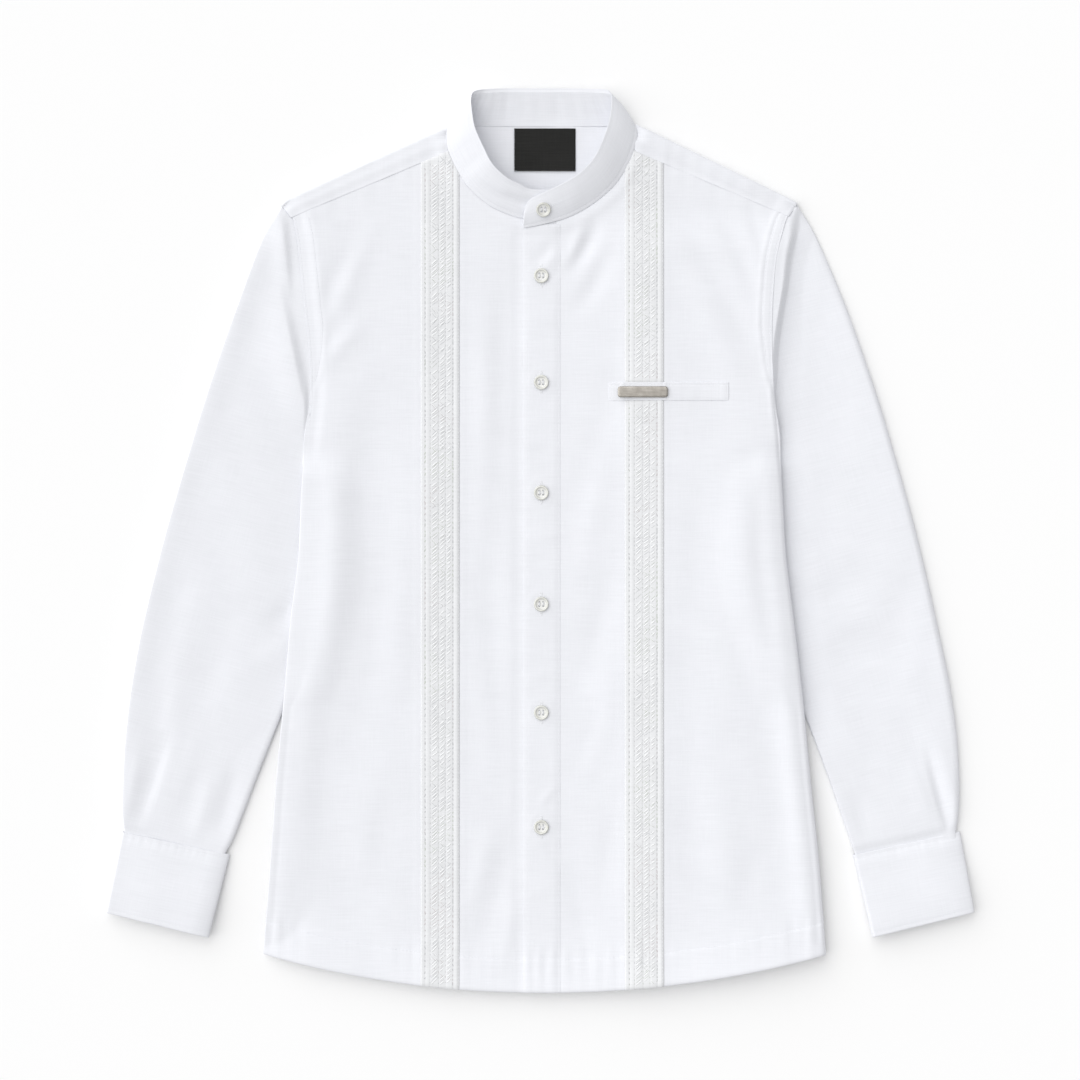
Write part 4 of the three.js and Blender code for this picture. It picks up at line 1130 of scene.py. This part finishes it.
def yoke_panel():
    shares = np.linspace(0, 1, 62)
    fronts = np.concatenate([[0, 0.02, 0.05, 0.09, 0.13, 0.18, 0.24], np.linspace(0.32, 1, 10)])
    turns = np.radians(np.linspace(90, -90, 13))[1:]
    behind = np.linspace(0, 1, 34)[1:]

    def column(sign, t):
        fold = SHOULDER_ARM[sign] - SHOULDER_NECK[sign]
        inward = np.array([fold[1], -fold[0]]) / np.linalg.norm(fold)
        # the fold's arm end is rounded off
        rounded = (2.4 if sign < 0 else 0.5) * share_of(t, 0.93, 1) ** 2
        fold_x, fold_y = blended(SHOULDER_NECK[sign], SHOULDER_ARM[sign], t) + inward * rounded
        arm = float(edge_x(sign, YOKE_ARM[1])) + 0.4
        at_neck = np.array([YOKE_NECK[0] + min(sign, 0) * 1.2, YOKE_NECK[1]])
        at_arm = np.array([arm, YOKE_ARM[1] - 0.4 * (arm - YOKE_ARM[0])])
        seam_x, seam_y = blended(at_neck, at_arm, t)
        start = np.array([sign * seam_x, seam_y])
        high = float(front_top(sign * seam_x, seam_y))
        rise = 0.8 * sign - (2.2 * eased(t, 0.7, 1) if sign > 0 else 0)  # towards the shoulder's fold
        radius = (high + 0.22 + rise) / 2
        thinner = 0.5 * (1 - eased(t, 0, 0.09))  # at the collar
        near = np.array([sign * (fold_x + inward[0] * radius), fold_y + inward[1] * radius])
        points = []
        for share in fronts:
            x, y = blended(start, near, share)
            ridge = 0.05 * line(share * 22 - 1.4, 1.0) - 0.05 * line(share * 22 - 3.2, 0.7)
            top = high + 0.14 + 0.08 * eased(share, 0, 0.16) + rise * eased(share, 0.16, 0.95)
            top = top - 1.1 * eased(t, 0.93, 1) * eased(share, 0.3, 0.9)
            top = top * (1 - thinner * eased(share, 0.3, 0.9))
            points.append((x, y, top + ridge + 0.16 * slack(x * 1.7, y * 2, 1)))
        for angle in turns:
            out = radius * (1 - math.cos(angle))
            x, y = sign * (fold_x + inward[0] * out), fold_y + inward[1] * out
            points.append((x, y, (radius + radius * math.sin(angle)) * (1 - thinner)))
        last = points[-1]
        for share in behind:
            y = blended(last[1], BACK_SEAM, share)
            arm = float(head_x(np.array(float(sign)), np.array(y))) - BACK_HEAD["beside"] - 0.5
            x = blended(last[0], sign * blended(SHOULDER_NECK[sign][0], arm, t), eased(share, 0, 0.5))
            points.append((x, y, 0))
        return points

    def neck_column(x):
        rows = [NECK_SEAM] * (len(fronts) + len(turns)) + list(blended(NECK_SEAM, BACK_SEAM, behind))
        return [(x, y, 0) for y in rows]

    neck = np.linspace(-78, 78, 44)
    columns = [column(-1, t) for t in shares[::-1]] + [neck_column(x) for x in neck]
    columns += [column(1, t) for t in shares]
    face = np.array(columns).transpose(1, 0, 2)
    flat_from = len(fronts) + len(turns) - 1
    kept = np.ones((face.shape[0] - 1, face.shape[1] - 1), bool)
    kept[:flat_from, len(shares) - 1 : len(shares) + len(neck)] = False
    lining = face.copy()
    ply = blended(0.12, YOKE_PLY, eased(np.concatenate([fronts, np.ones(len(face) - len(fronts))]), 0.16, 0.6))
    at_arm = eased(np.concatenate([shares[::-1], 0 * neck, shares]), 0.95, 1)
    ply = np.maximum(ply[:, None], 0.55 * at_arm)
    lining[:flat_from] = along_normal(face, ply[..., None])[:flat_from]
    lining[flat_from:, :, 2] = YOKE_PLY
    wrinkle = slack(face[..., 0] * 1.6, face[..., 1] * 1.8, 0.16) + 0.2
    lining[flat_from:, :, 2] += np.maximum(wrinkle, 0)[flat_from:]
    lining[..., 2] = np.maximum(lining[..., 2], 0.1)
    weave = face[..., :2].copy()
    weave[:flat_from, :, 1] = 760 - weave[:flat_from, :, 1]  # it runs on over the shoulder, unfolded
    return sew("yoke", face, lining, weave, white_cotton, kept=kept)


yoke = yoke_panel()
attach(yoke, "root")
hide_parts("yoke")

# ---- Cuffs ----
# Two plies of cotton with a stiffener between, closed round the sleeve's end and stitched near every edge.
# Their closing edge, with its buttonhole, is on the side that lies down.
def cuff_lines(side, at):
    """Outer and inner fold across the cuff, at shares of the way from its mouth to its free end."""
    mouth, end = (np.array(CUFFS[side][key], float) for key in ("mouth", "end"))
    return blended(mouth[None], end[None], at[:, None, None])


def cuff_raised(at):
    """How far a cuff stands off the surface, towards its free end."""
    return 5 * eased(at, 0.1, 1)[:, None]


def cuff_top(side, at):
    def high(x, y):
        swell = 0.5 * np.sin(math.pi * at)[:, None]
        sign = -1 if side == "right" else 1
        wave = 0.35 * np.sin((x * sign) / 17 + 2.0 * at[:, None]) + 0.25 * np.sin((x * sign) / 8 + y / 31)
        wave = wave + 0.5 * (puckers(x * sign + y * 0.2, 7, 0.6) - 0.5) * (1 - eased(at[:, None], 0.04, 0.2))
        sunk = -0.16 * line((at[:, None] - 0.045) * 70, 0.8) - 0.16 * line((at[:, None] - 0.955) * 70, 0.8)
        tilt = 0.02 * (325 - x) if side == "left" else 0
        pressed = 1.5 * (1 - eased(at, 0, 0.16))[:, None]  # at the mouth
        return CUFF_HIGH - 0.2 + swell + wave * 0.7 + sunk + cuff_raised(at) + tilt - pressed

    return high


rim = np.array([0, 0.012, 0.025, 0.037, 0.045, 0.053, 0.066, 0.09])
at = np.concatenate([rim, np.linspace(0.12, 0.88, 22), 1 - rim[::-1]])
for side, sign, reaches in (("right", -1, (2.6, 17)), ("left", 1, (17, 2.6))):
    folds = cuff_lines(side, at)

    def place(over):
        outer, inner = folds[:, :1], folds[:, 1:]
        return sign * blended(outer[..., 0], inner[..., 0], over), blended(outer[..., 1], inner[..., 1], over)

    wide = np.linalg.norm(folds[:, 0] - folds[:, 1], axis=1)
    wall = 0.25 + 0.75 * eased(at, 0, 0.1)[:, None, None]
    face, lining = stadium(place, cuff_top(side, at), cuff_raised(at), wide, reaches, wall, -sign)
    piece = sew(f"cuff_{side}", face, lining, girth_weave(face), white_cotton, closed=True)
    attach(piece, "root")
    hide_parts(f"cuff_{side}")
    seam = run_stitches(f"stitches_cuff_{side}", [face[row, 4:53] for row in (4, -5)])

# ---- Collar ----
# A band collar of two plies with a firm interlining. It stands from the neck seam, leans in at the front and
# laps over itself there, with its corner rounded and a row of stitches along every edge.
CollarRow = namedtuple("CollarRow", "x y z top_x top_y top_z")
COLLAR = [  # from the lapping end, round by the wearer's left, to the end beneath
    CollarRow(-15.3, 271.4, 8.6, -14.4, 286.5, 12),
    CollarRow(-10, 271.9, 8.6, -9.8, 294.8, 13.6),
    CollarRow(5, 275, 8.6, 1, 300.2, 15.4),
    CollarRow(25, 281, 8, 17.5, 308, 17.6),
    CollarRow(45, 292, 7.6, 33, 317, 19.2),
    CollarRow(62.6, 307, 7.8, 45.5, 330, 20.4),
    CollarRow(73, 321.5, 8, 53, 345, 20.4),
    CollarRow(80.6, 339, 7.8, 58.5, 361, 19.4),
    CollarRow(83.6, 352, 7, 60.8, 375, 18.4),
    CollarRow(83.2, 358.5, 4, 61, 384.5, 16),
    CollarRow(78, 361.2, 1.5, 57.5, 390.2, 12.6),
    CollarRow(58, 360.2, 1.25, 46, 391.6, 8.5),
    CollarRow(30, 360, 1.25, 26, 392.3, 6.3),
    CollarRow(0, 360, 1.25, 0, 392.4, 5.8),
    CollarRow(-30, 360, 1.25, -26, 392.3, 6.3),
    CollarRow(-58, 360.2, 1.25, -46, 391.4, 9),
    CollarRow(-76.5, 361, 1.5, -57.5, 389, 13.8),
    CollarRow(-81.2, 358, 4, -60.5, 383, 17.5),
    CollarRow(-82, 350.5, 7, -60, 373, 20.4),
    CollarRow(-80.4, 338, 7.8, -57.2, 357, 21.4),
    CollarRow(-73, 321.5, 8, -50, 340, 21.6),
    CollarRow(-62.6, 306, 7.8, -42, 325, 21),
    CollarRow(-46, 291.5, 7.2, -29.5, 313.5, 18.6),
    CollarRow(-29, 283.2, 6.9, -18.5, 308.2, 16),
    CollarRow(-13.5, 279.2, 6.8, -8, 303.9, 13.2),
    CollarRow(11, 279.5, 6.8, 11, 303.8, 12.2),
]
COLLAR_PLY, COLLAR_TALL = 1.5, 30
COLLAR_PUCKERS = [  # upright ones round the collar: where, how wide, how deep
    (9.4, 0.10, 0.5), (10.1, 0.13, -0.4), (11.0, 0.12, 0.5), (11.7, 0.10, -0.4), (12.5, 0.14, 0.55),
    (13.3, 0.1, -0.4), (14.1, 0.12, 0.6), (14.7, 0.08, -0.6), (15.2, 0.1, 0.6), (15.8, 0.1, -0.5),
    (5.2, 0.3, 0.15), (6.6, 0.3, -0.15), (3.4, 0.3, 0.25), (19.0, 0.35, 0.35), (20.3, 0.3, -0.35),
]
COLLAR_STITCHES = (0.1, 0.9)  # how far up it each row is
COLLAR_HOLE = {"from": 2.3, "to": 2.83, "up": 0.53, "half": 0.022}
ON_FRONTS = 342  # its seam lies on the fronts below this


def behind_neck(at):
    """One round the back of the neck, and nothing in front."""
    return eased(at, 8, 9.5) * (1 - eased(at, 16, 17.5))


def collar_face(at, up):
    """Points of the collar's outer face, and the way it faces, at places round it and shares of its height."""
    table = np.array(COLLAR)
    # where it is sewn to the fronts, its seam lies on them, and the lapping end lies on the placket too
    rest = front_top(table[:, 0], table[:, 1]) + 0.5 + 1.0 * (1 - eased(np.arange(len(table)), 1.6, 3.2))
    table[:, 2] = np.where(table[:, 1] < ON_FRONTS, rest, table[:, 2])
    station = through(np.arange(len(COLLAR)), table, at)
    seam, top = station[:, :3], station[:, 3:]
    # the way that it faces, from the run of its two edges
    fine = np.arange(0, len(COLLAR) - 1 + 0.01, 0.05)
    path = through(np.arange(len(COLLAR)), table, fine)
    ahead = np.gradient(path[:, :3] + path[:, 3:], axis=0)
    outward = np.cross(ahead, path[:, 3:] - path[:, :3])
    outward /= np.linalg.norm(outward, axis=1, keepdims=True)
    outward = np.stack([np.interp(at, fine, outward[:, i]) for i in range(3)], -1)
    at, share = at[None, :], up[:, None]
    high = 1.2 * np.sin(math.pi * share)
    fading = (0.55 + 0.45 * (1 - share)) * np.sin(math.pi * (0.02 + 0.86 * share))
    for where, wide, deep in COLLAR_PUCKERS:
        high = high + 1.5 * deep * line(at - where - 0.1 * (share - 0.5), wide) * fading
    # the level crease where the under end is pushed back, left of the button
    pushed = eased(at, 20.6, 22.4)
    high = high - 0.9 * line(share - 0.42 - 0.05 * (at - 22), 0.13) * pushed * (1 - eased(at, 23.6, 24.4))
    high = high + 0.8 * line(share - 0.68 - 0.05 * (at - 22), 0.16) * pushed * (1 - eased(at, 23.6, 24.6))
    lower, upper = (line((share - row) * 30, 0.8) for row in COLLAR_STITCHES)
    high = high - 0.2 * lower * (1 - behind_neck(at)) - 0.1 * upper
    points = seam[None] + (top - seam)[None] * share[..., None] + outward[None] * high[..., None]
    return points, np.broadcast_to(outward[None], points.shape)


at = np.concatenate([[0, 0.05, 0.11, 0.18, 0.25, 0.32, 0.4], np.linspace(0.5, 24.5, 230), [24.7, 24.85, 25]])
up = [0, 0.02, 0.045, 0.07, 0.085, 0.1, 0.115, 0.13, 0.16, 0.22, 0.29, 0.36, 0.43, 0.5, 0.57, 0.64, 0.71, 0.78]
up = np.array([*up, 0.83, 0.86, 0.885, 0.9, 0.915, 0.93, 0.955, 0.98, 1])
face, outward = collar_face(at, up)
along = np.zeros(face.shape[:2])
along[:, 1:] = np.cumsum(np.linalg.norm(np.diff(face[len(up) // 2], axis=0), axis=1))[None]
weave = np.stack([along, np.broadcast_to(COLLAR_TALL * up[:, None], along.shape)], -1)
full = blended(0.15, 1, eased(up[:, None], 0, 0.16 + 0.5 * behind_neck(at)[None]))
wall = COLLAR_PLY * (full - 0.78 * eased(up, 0.86, 1)[:, None])
collar = sew("collar", face, face - outward * wall[..., None], weave, white_cotton)
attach(collar, "root")
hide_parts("collar")
lines = []
for share in COLLAR_STITCHES:
    spots = np.linspace(0.25, 24.8, 420)
    points, _ = collar_face(spots, np.array([share]))
    lines.append(points[0])
points, _ = collar_face(np.array([0.25]), np.linspace(*COLLAR_STITCHES, 14))
lines.append(points[:, 0])
inner, way = collar_face(np.linspace(7.5, 20, 240), np.array(COLLAR_STITCHES[1:]))
lines.append((inner - way * COLLAR_PLY * 0.9)[0])
seam = run_stitches("stitches_collar", lines, thick=0.34)
spots = np.linspace(COLLAR_HOLE["from"], COLLAR_HOLE["to"], 30)
lines = []
for side in (-1, 1):
    points, _ = collar_face(spots, np.array([COLLAR_HOLE["up"] + side * COLLAR_HOLE["half"]]))
    lines.append(points[0])
seam = run_stitches("collar_buttonhole", lines, stitch=0.75, gap=0.15, thick=0.6)

# ---- Buttons ----
# Four-hole shirt buttons of pearly resin, with a rounded rim and a sunk middle, sewn with white thread. The top
# one lies on the collar, square to it, over a level buttonhole.
BUTTON = {"radius": 6.4, "hole": 0.8, "offset": 1.6, "thread": 0.24, "pair": 0.28}
COLLAR_BUTTON = (1.93, 0.49)  # how far round the collar, and how far up it
# Painted shade in the ramp: darker where the rim rises from the sunk middle and at the rim's outer roll.
PEARL_TONES_AND_RIM_SHADE = [  # at shares of the way out to the rim
    (0, (0.86, 0.86, 0.85)),
    (0.62, (0.82, 0.82, 0.79)),
    (0.72, (0.68, 0.68, 0.64)),
    (0.86, (0.80, 0.80, 0.76)),
    (1, (0.58, 0.58, 0.53)),
]


def pearl_resin():
    """Pearly resin: pale in the middle and greener towards the rim, with painted shade that deepens it at the
    rim and where the rim rises from the sunk middle, and slow clouds in it.
    """
    finish, tree, resin = new_finish("pearl_resin")
    out = add(tree, "ShaderNodeSeparateXYZ", {"Vector": add(tree, "ShaderNodeUVMap", uv_map="turned")})
    clouds = noise(tree, add(tree, "ShaderNodeTexCoord", output="Object"), 260, 3)
    look = {"Roughness": 0.24, "Coat Weight": 0.35, "Coat Roughness": 0.12, "Subsurface Weight": 0.12}
    look.update({"Subsurface Radius": (0.0012, 0.0012, 0.001), "Subsurface Scale": 1})
    look["Base Color"] = tinted(tree, ramp(tree, out, PEARL_TONES_AND_RIM_SHADE), spread(tree, clouds, 0.86, 1.1))
    feed(tree, resin, look)
    return finish


pearl = pearl_resin()
BUTTON_RINGS = [  # radius and height, from the middle of the underside to the middle of the top
    (0.01, 0.15), (3.6, 0.15), (4.9, 0.3), (5.9, 0.75), (6.35, 1.2), (6.4, 1.55), (6.2, 1.95), (5.8, 2.18),
    (5.35, 2.2), (4.9, 2.02), (4.45, 1.6), (4.0, 1.25), (3.4, 1.12), (2.6, 1.08), (1.5, 1.06), (0.01, 1.05),
]


def ring(radius, z, x=0, y=0, step=10):
    return [(x + radius * math.cos(a), y + radius * math.sin(a), z) for a in np.radians(np.arange(0, 360, step))]


# one button is turned and drilled, and then laid in each place
blank = outline_rings([ring(radius, z) for radius, z in BUTTON_RINGS], "button_blank", pearl)
pins = []
for x, y in ((1, 1), (-1, 1), (-1, -1), (1, -1)):
    place = (x * BUTTON["offset"], y * BUTTON["offset"])
    pins.append(outline_rings([ring(BUTTON["hole"], z, *place, 30) for z in (-1, 4)], "pin", pearl))
for pin in pins:
    drill = blank.modifiers.new("hole", "BOOLEAN")
    drill.operation = "DIFFERENCE"
    drill.solver = "EXACT"
    drill.object = pin
bpy.context.view_layer.update()
drilled = bpy.data.meshes.new_from_object(blank.evaluated_get(bpy.context.evaluated_depsgraph_get()))
shape = np.zeros(len(drilled.vertices) * 3)
drilled.vertices.foreach_get("co", shape)
shape = shape.reshape(-1, 3)
for spare in (blank, *pins):
    bpy.data.objects.remove(spare)


def put_on(points, at, facing):
    """Points of a small part laid at a place, facing a way, with its own X kept level."""
    facing = np.array(facing, float) / np.linalg.norm(facing)
    level = np.cross((0, 1, 0), facing)
    level /= np.linalg.norm(level)
    return np.array(at) * 0.001 + points @ np.stack([level, np.cross(facing, level), facing])


def sewn_threads(sides=6):
    """Four wraps of thread through the holes, two from hole to hole on each side: their points and faces."""
    path = [(-1.6, 0.4), (-1.75, 1.25), (-1.2, 1.62), (0, 1.72), (1.2, 1.62), (1.75, 1.25), (1.6, 0.4)]
    level = np.array([1.0, 0, 0])
    points, faces = [], []
    for side, beside in ((-1, -1), (-1, 1), (1, -1), (1, 1)):
        x = side * BUTTON["offset"] + beside * BUTTON["pair"]
        wrap = np.array([(x, y, z) for y, z in path])
        start, last = len(points), len(points) + (len(wrap) - 1) * sides
        for i, spot in enumerate(wrap):
            ahead = wrap[min(i + 1, len(wrap) - 1)] - wrap[max(i - 1, 0)]
            upright = np.cross(ahead / np.linalg.norm(ahead), level)
            for angle in (2 * math.pi * k / sides for k in range(sides)):
                points.append(spot + BUTTON["thread"] * (math.cos(angle) * level + math.sin(angle) * upright))
        for a in range(start, last, sides):
            for k in range(sides):
                b = a + (k + 1) % sides
                faces.append((a + k, b, b + sides, a + k + sides))
        faces.append(tuple(start + k for k in reversed(range(sides))))
        faces.append(tuple(last + k for k in range(sides)))
    return np.array(points) * 0.001, faces


wraps, wrap_faces = sewn_threads()
for number in range(1, 8):
    if number == 1:
        spot, way = collar_face(np.array(COLLAR_BUTTON[:1]), np.array(COLLAR_BUTTON[1:]))
        at, facing = spot[0, 0] + 0.2 * way[0, 0], way[0, 0]
    else:
        y = BUTTON_HEIGHTS[number - 2]
        at, facing = (BUTTON_X, y, float(placket_top(BUTTON_X, y)) + 0.25), (0, 0, 1)
    mesh = drilled.copy()
    mesh.name = f"button_{number}"
    mesh.vertices.foreach_set("co", put_on(shape, at, facing).ravel())
    turned = mesh.uv_layers.new(name="turned")
    corner = np.zeros(len(mesh.loops), int)
    mesh.loops.foreach_get("vertex_index", corner)
    radial = np.hypot(shape[:, 0], shape[:, 1]) / (BUTTON["radius"] * 0.001)
    round_it = np.arctan2(shape[:, 1], shape[:, 0]) / math.pi
    turned.data.foreach_set("uv", np.stack([radial, round_it], -1)[corner].ravel().astype(np.float32))
    mesh.update()
    piece = bpy.data.objects.new(f"button_{number}", mesh)
    bpy.context.scene.collection.objects.link(piece)
    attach(piece, "root")
    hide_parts(f"button_{number}")

    thread = make(f"button_thread_{number}", put_on(wraps, at, facing), faces=wrap_faces, finish=white_thread)
    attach(thread, "root")

# ---- Neck label ----
# A woven damask patch in near-black, sewn to the yoke's inside with white thread that shows along its left and
# lower edges. It carries no wording.
LABEL = {"x": 3.3, "y": 339.5, "wide": 53, "tall": 37}


def woven_black():
    finish = shirting("woven_black", (0.0135, 0.0135, 0.0125), 0.35)
    cloth = finish.node_tree.nodes["Principled BSDF"]
    cloth.inputs["Roughness"].default_value = 0.75
    cloth.inputs["Sheen Weight"].default_value = 0.04
    return finish


x = (LABEL["x"] + LABEL["wide"] * np.linspace(-0.5, 0.5, 54))[None, :]
y = (LABEL["y"] + LABEL["tall"] * np.linspace(-0.5, 0.5, 38))[:, None]
face = laid_on(lambda x, y: 2.05 + 0.12 * np.sin(x / 9) * np.sin(y / 7 + 1), x, y)
label = sew("neck_label", face, along_normal(face, -0.5), face[..., :2], woven_black())
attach(label, "root")
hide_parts("neck_label")
chance = np.random.default_rng(3)
WHIP_PITCH = 1.35
half_wide, half_tall = LABEL["wide"] / 2 - 0.5, LABEL["tall"] / 2 - 0.5
left_edge, low_edge = LABEL["x"] - LABEL["wide"] / 2, LABEL["y"] - LABEL["tall"] / 2
whips = []
for y in np.arange(LABEL["y"] - half_tall, LABEL["y"] + half_tall, WHIP_PITCH):
    reach = 0.8 + 0.35 * chance.random()
    whips.append((left_edge - reach, y - 0.3, left_edge + 0.45, y + 0.2, 0.45))
for x in np.arange(LABEL["x"] - half_wide, LABEL["x"] + half_wide, WHIP_PITCH):
    reach = 0.9 + 0.5 * chance.random()
    whips.append((x - 0.2, low_edge - reach, x + 0.3, low_edge + 0.4, 0.45))
whips = lay_threads("label_stitches", whips, lambda x, y: 2.0 + 0 * x, white_thread, 0.4)

# ---- Seam stitches on the fronts ----
# The last rows sewn, in white cotton thread: the turned hem, both felled armholes, and the selvedges of the
# lace, which are stitched down on the fronts.
lines = []
x = np.linspace(-233, 239, 380)
y = hem_y(x) + HEM["fold"]
clear = np.ones(x.size, bool)
for inner, outer in (*BANDS.values(), (PLACKET["free"], PLACKET["seam"])):
    clear &= (x < inner) | (x > outer)
spots = laid_on(front_top, x, y, 0.12)
for run in np.split(np.arange(len(x)), np.flatnonzero(np.diff(clear.astype(int))) + 1):
    if clear[run[0]]:
        lines.append(spots[run])
for sign in (-1, 1):
    for inner in (False, True):
        y = np.linspace(140 if inner else UNDERARM + 8, YOKE_ARM[1] - 3, 130)
        x = sign * (edge_x(sign + 0 * y, y) - (fell_wide(sign + 0 * y, y) if inner else FELL_STITCH))
        lines.append(laid_on(front_top, x, y, 0.1))
seam = run_stitches("stitches_front", lines)

lines = []
for side, bottom, crown in (("right", None, None), ("left", None, WELT["low"]), ("left", WELT["high"], None)):
    left = BANDS[side][0]
    for x in (left + 1.0, left + BAND_WIDE - 0.9):
        low = bottom or float(hem_y(x))
        top = crown or float(upper_seam_y(x))
        lines.append(laid_on(band_top(left), x, np.linspace(low + 1, top - 1, int((top - low - 2) / 3))))
seam = run_stitches("stitches_lace", lines, stitch=2.2, gap=0.9)

# ---- Studio ----
# A plain white table, an even white room, a soft key from beyond the wearer's right shoulder, and a camera
# straight above.
paint, tree, shader = new_finish("white_table")
feed(tree, shader, {"Base Color": (0.95, 0.95, 0.95, 1), "Roughness": 1, "Specular IOR Level": 0})
corners = [(x * 40, y * 40, -0.0002) for x, y in ((-1, -1), (1, -1), (1, 1), (-1, 1))]  # just under the shirt
floor = make("table_top", corners, faces=[(0, 1, 2, 3)], finish=paint)

room = bpy.data.worlds.new("white_room")
room.use_nodes = True
feed(room.node_tree, room.node_tree.nodes["Background"], {"Color": (1, 1, 1, 1), "Strength": 0.51})
bpy.context.scene.world = room

key = bpy.data.objects.new("key", bpy.data.lights.new("key", "SUN"))
key.data.energy = 2.45
key.data.angle = math.radians(98)
toward = np.array([-0.80, 0.50, 0.87])  # where the light comes from
aim = math.atan2(toward[1], toward[0])
tilt = math.atan2(math.hypot(toward[0], toward[1]), toward[2])
key.rotation_euler = (0, tilt, aim)
bpy.context.scene.collection.objects.link(key)

eye = bpy.data.objects.new("camera", bpy.data.cameras.new("camera"))
eye.data.lens = 100
eye.data.sensor_width = 36
eye.data.clip_end = 100
eye.location = (-0.0009, 0.0004, 2.61)
bpy.context.scene.collection.objects.link(eye)
bpy.context.scene.camera = eye
bpy.context.scene.view_settings.view_transform = "Standard"
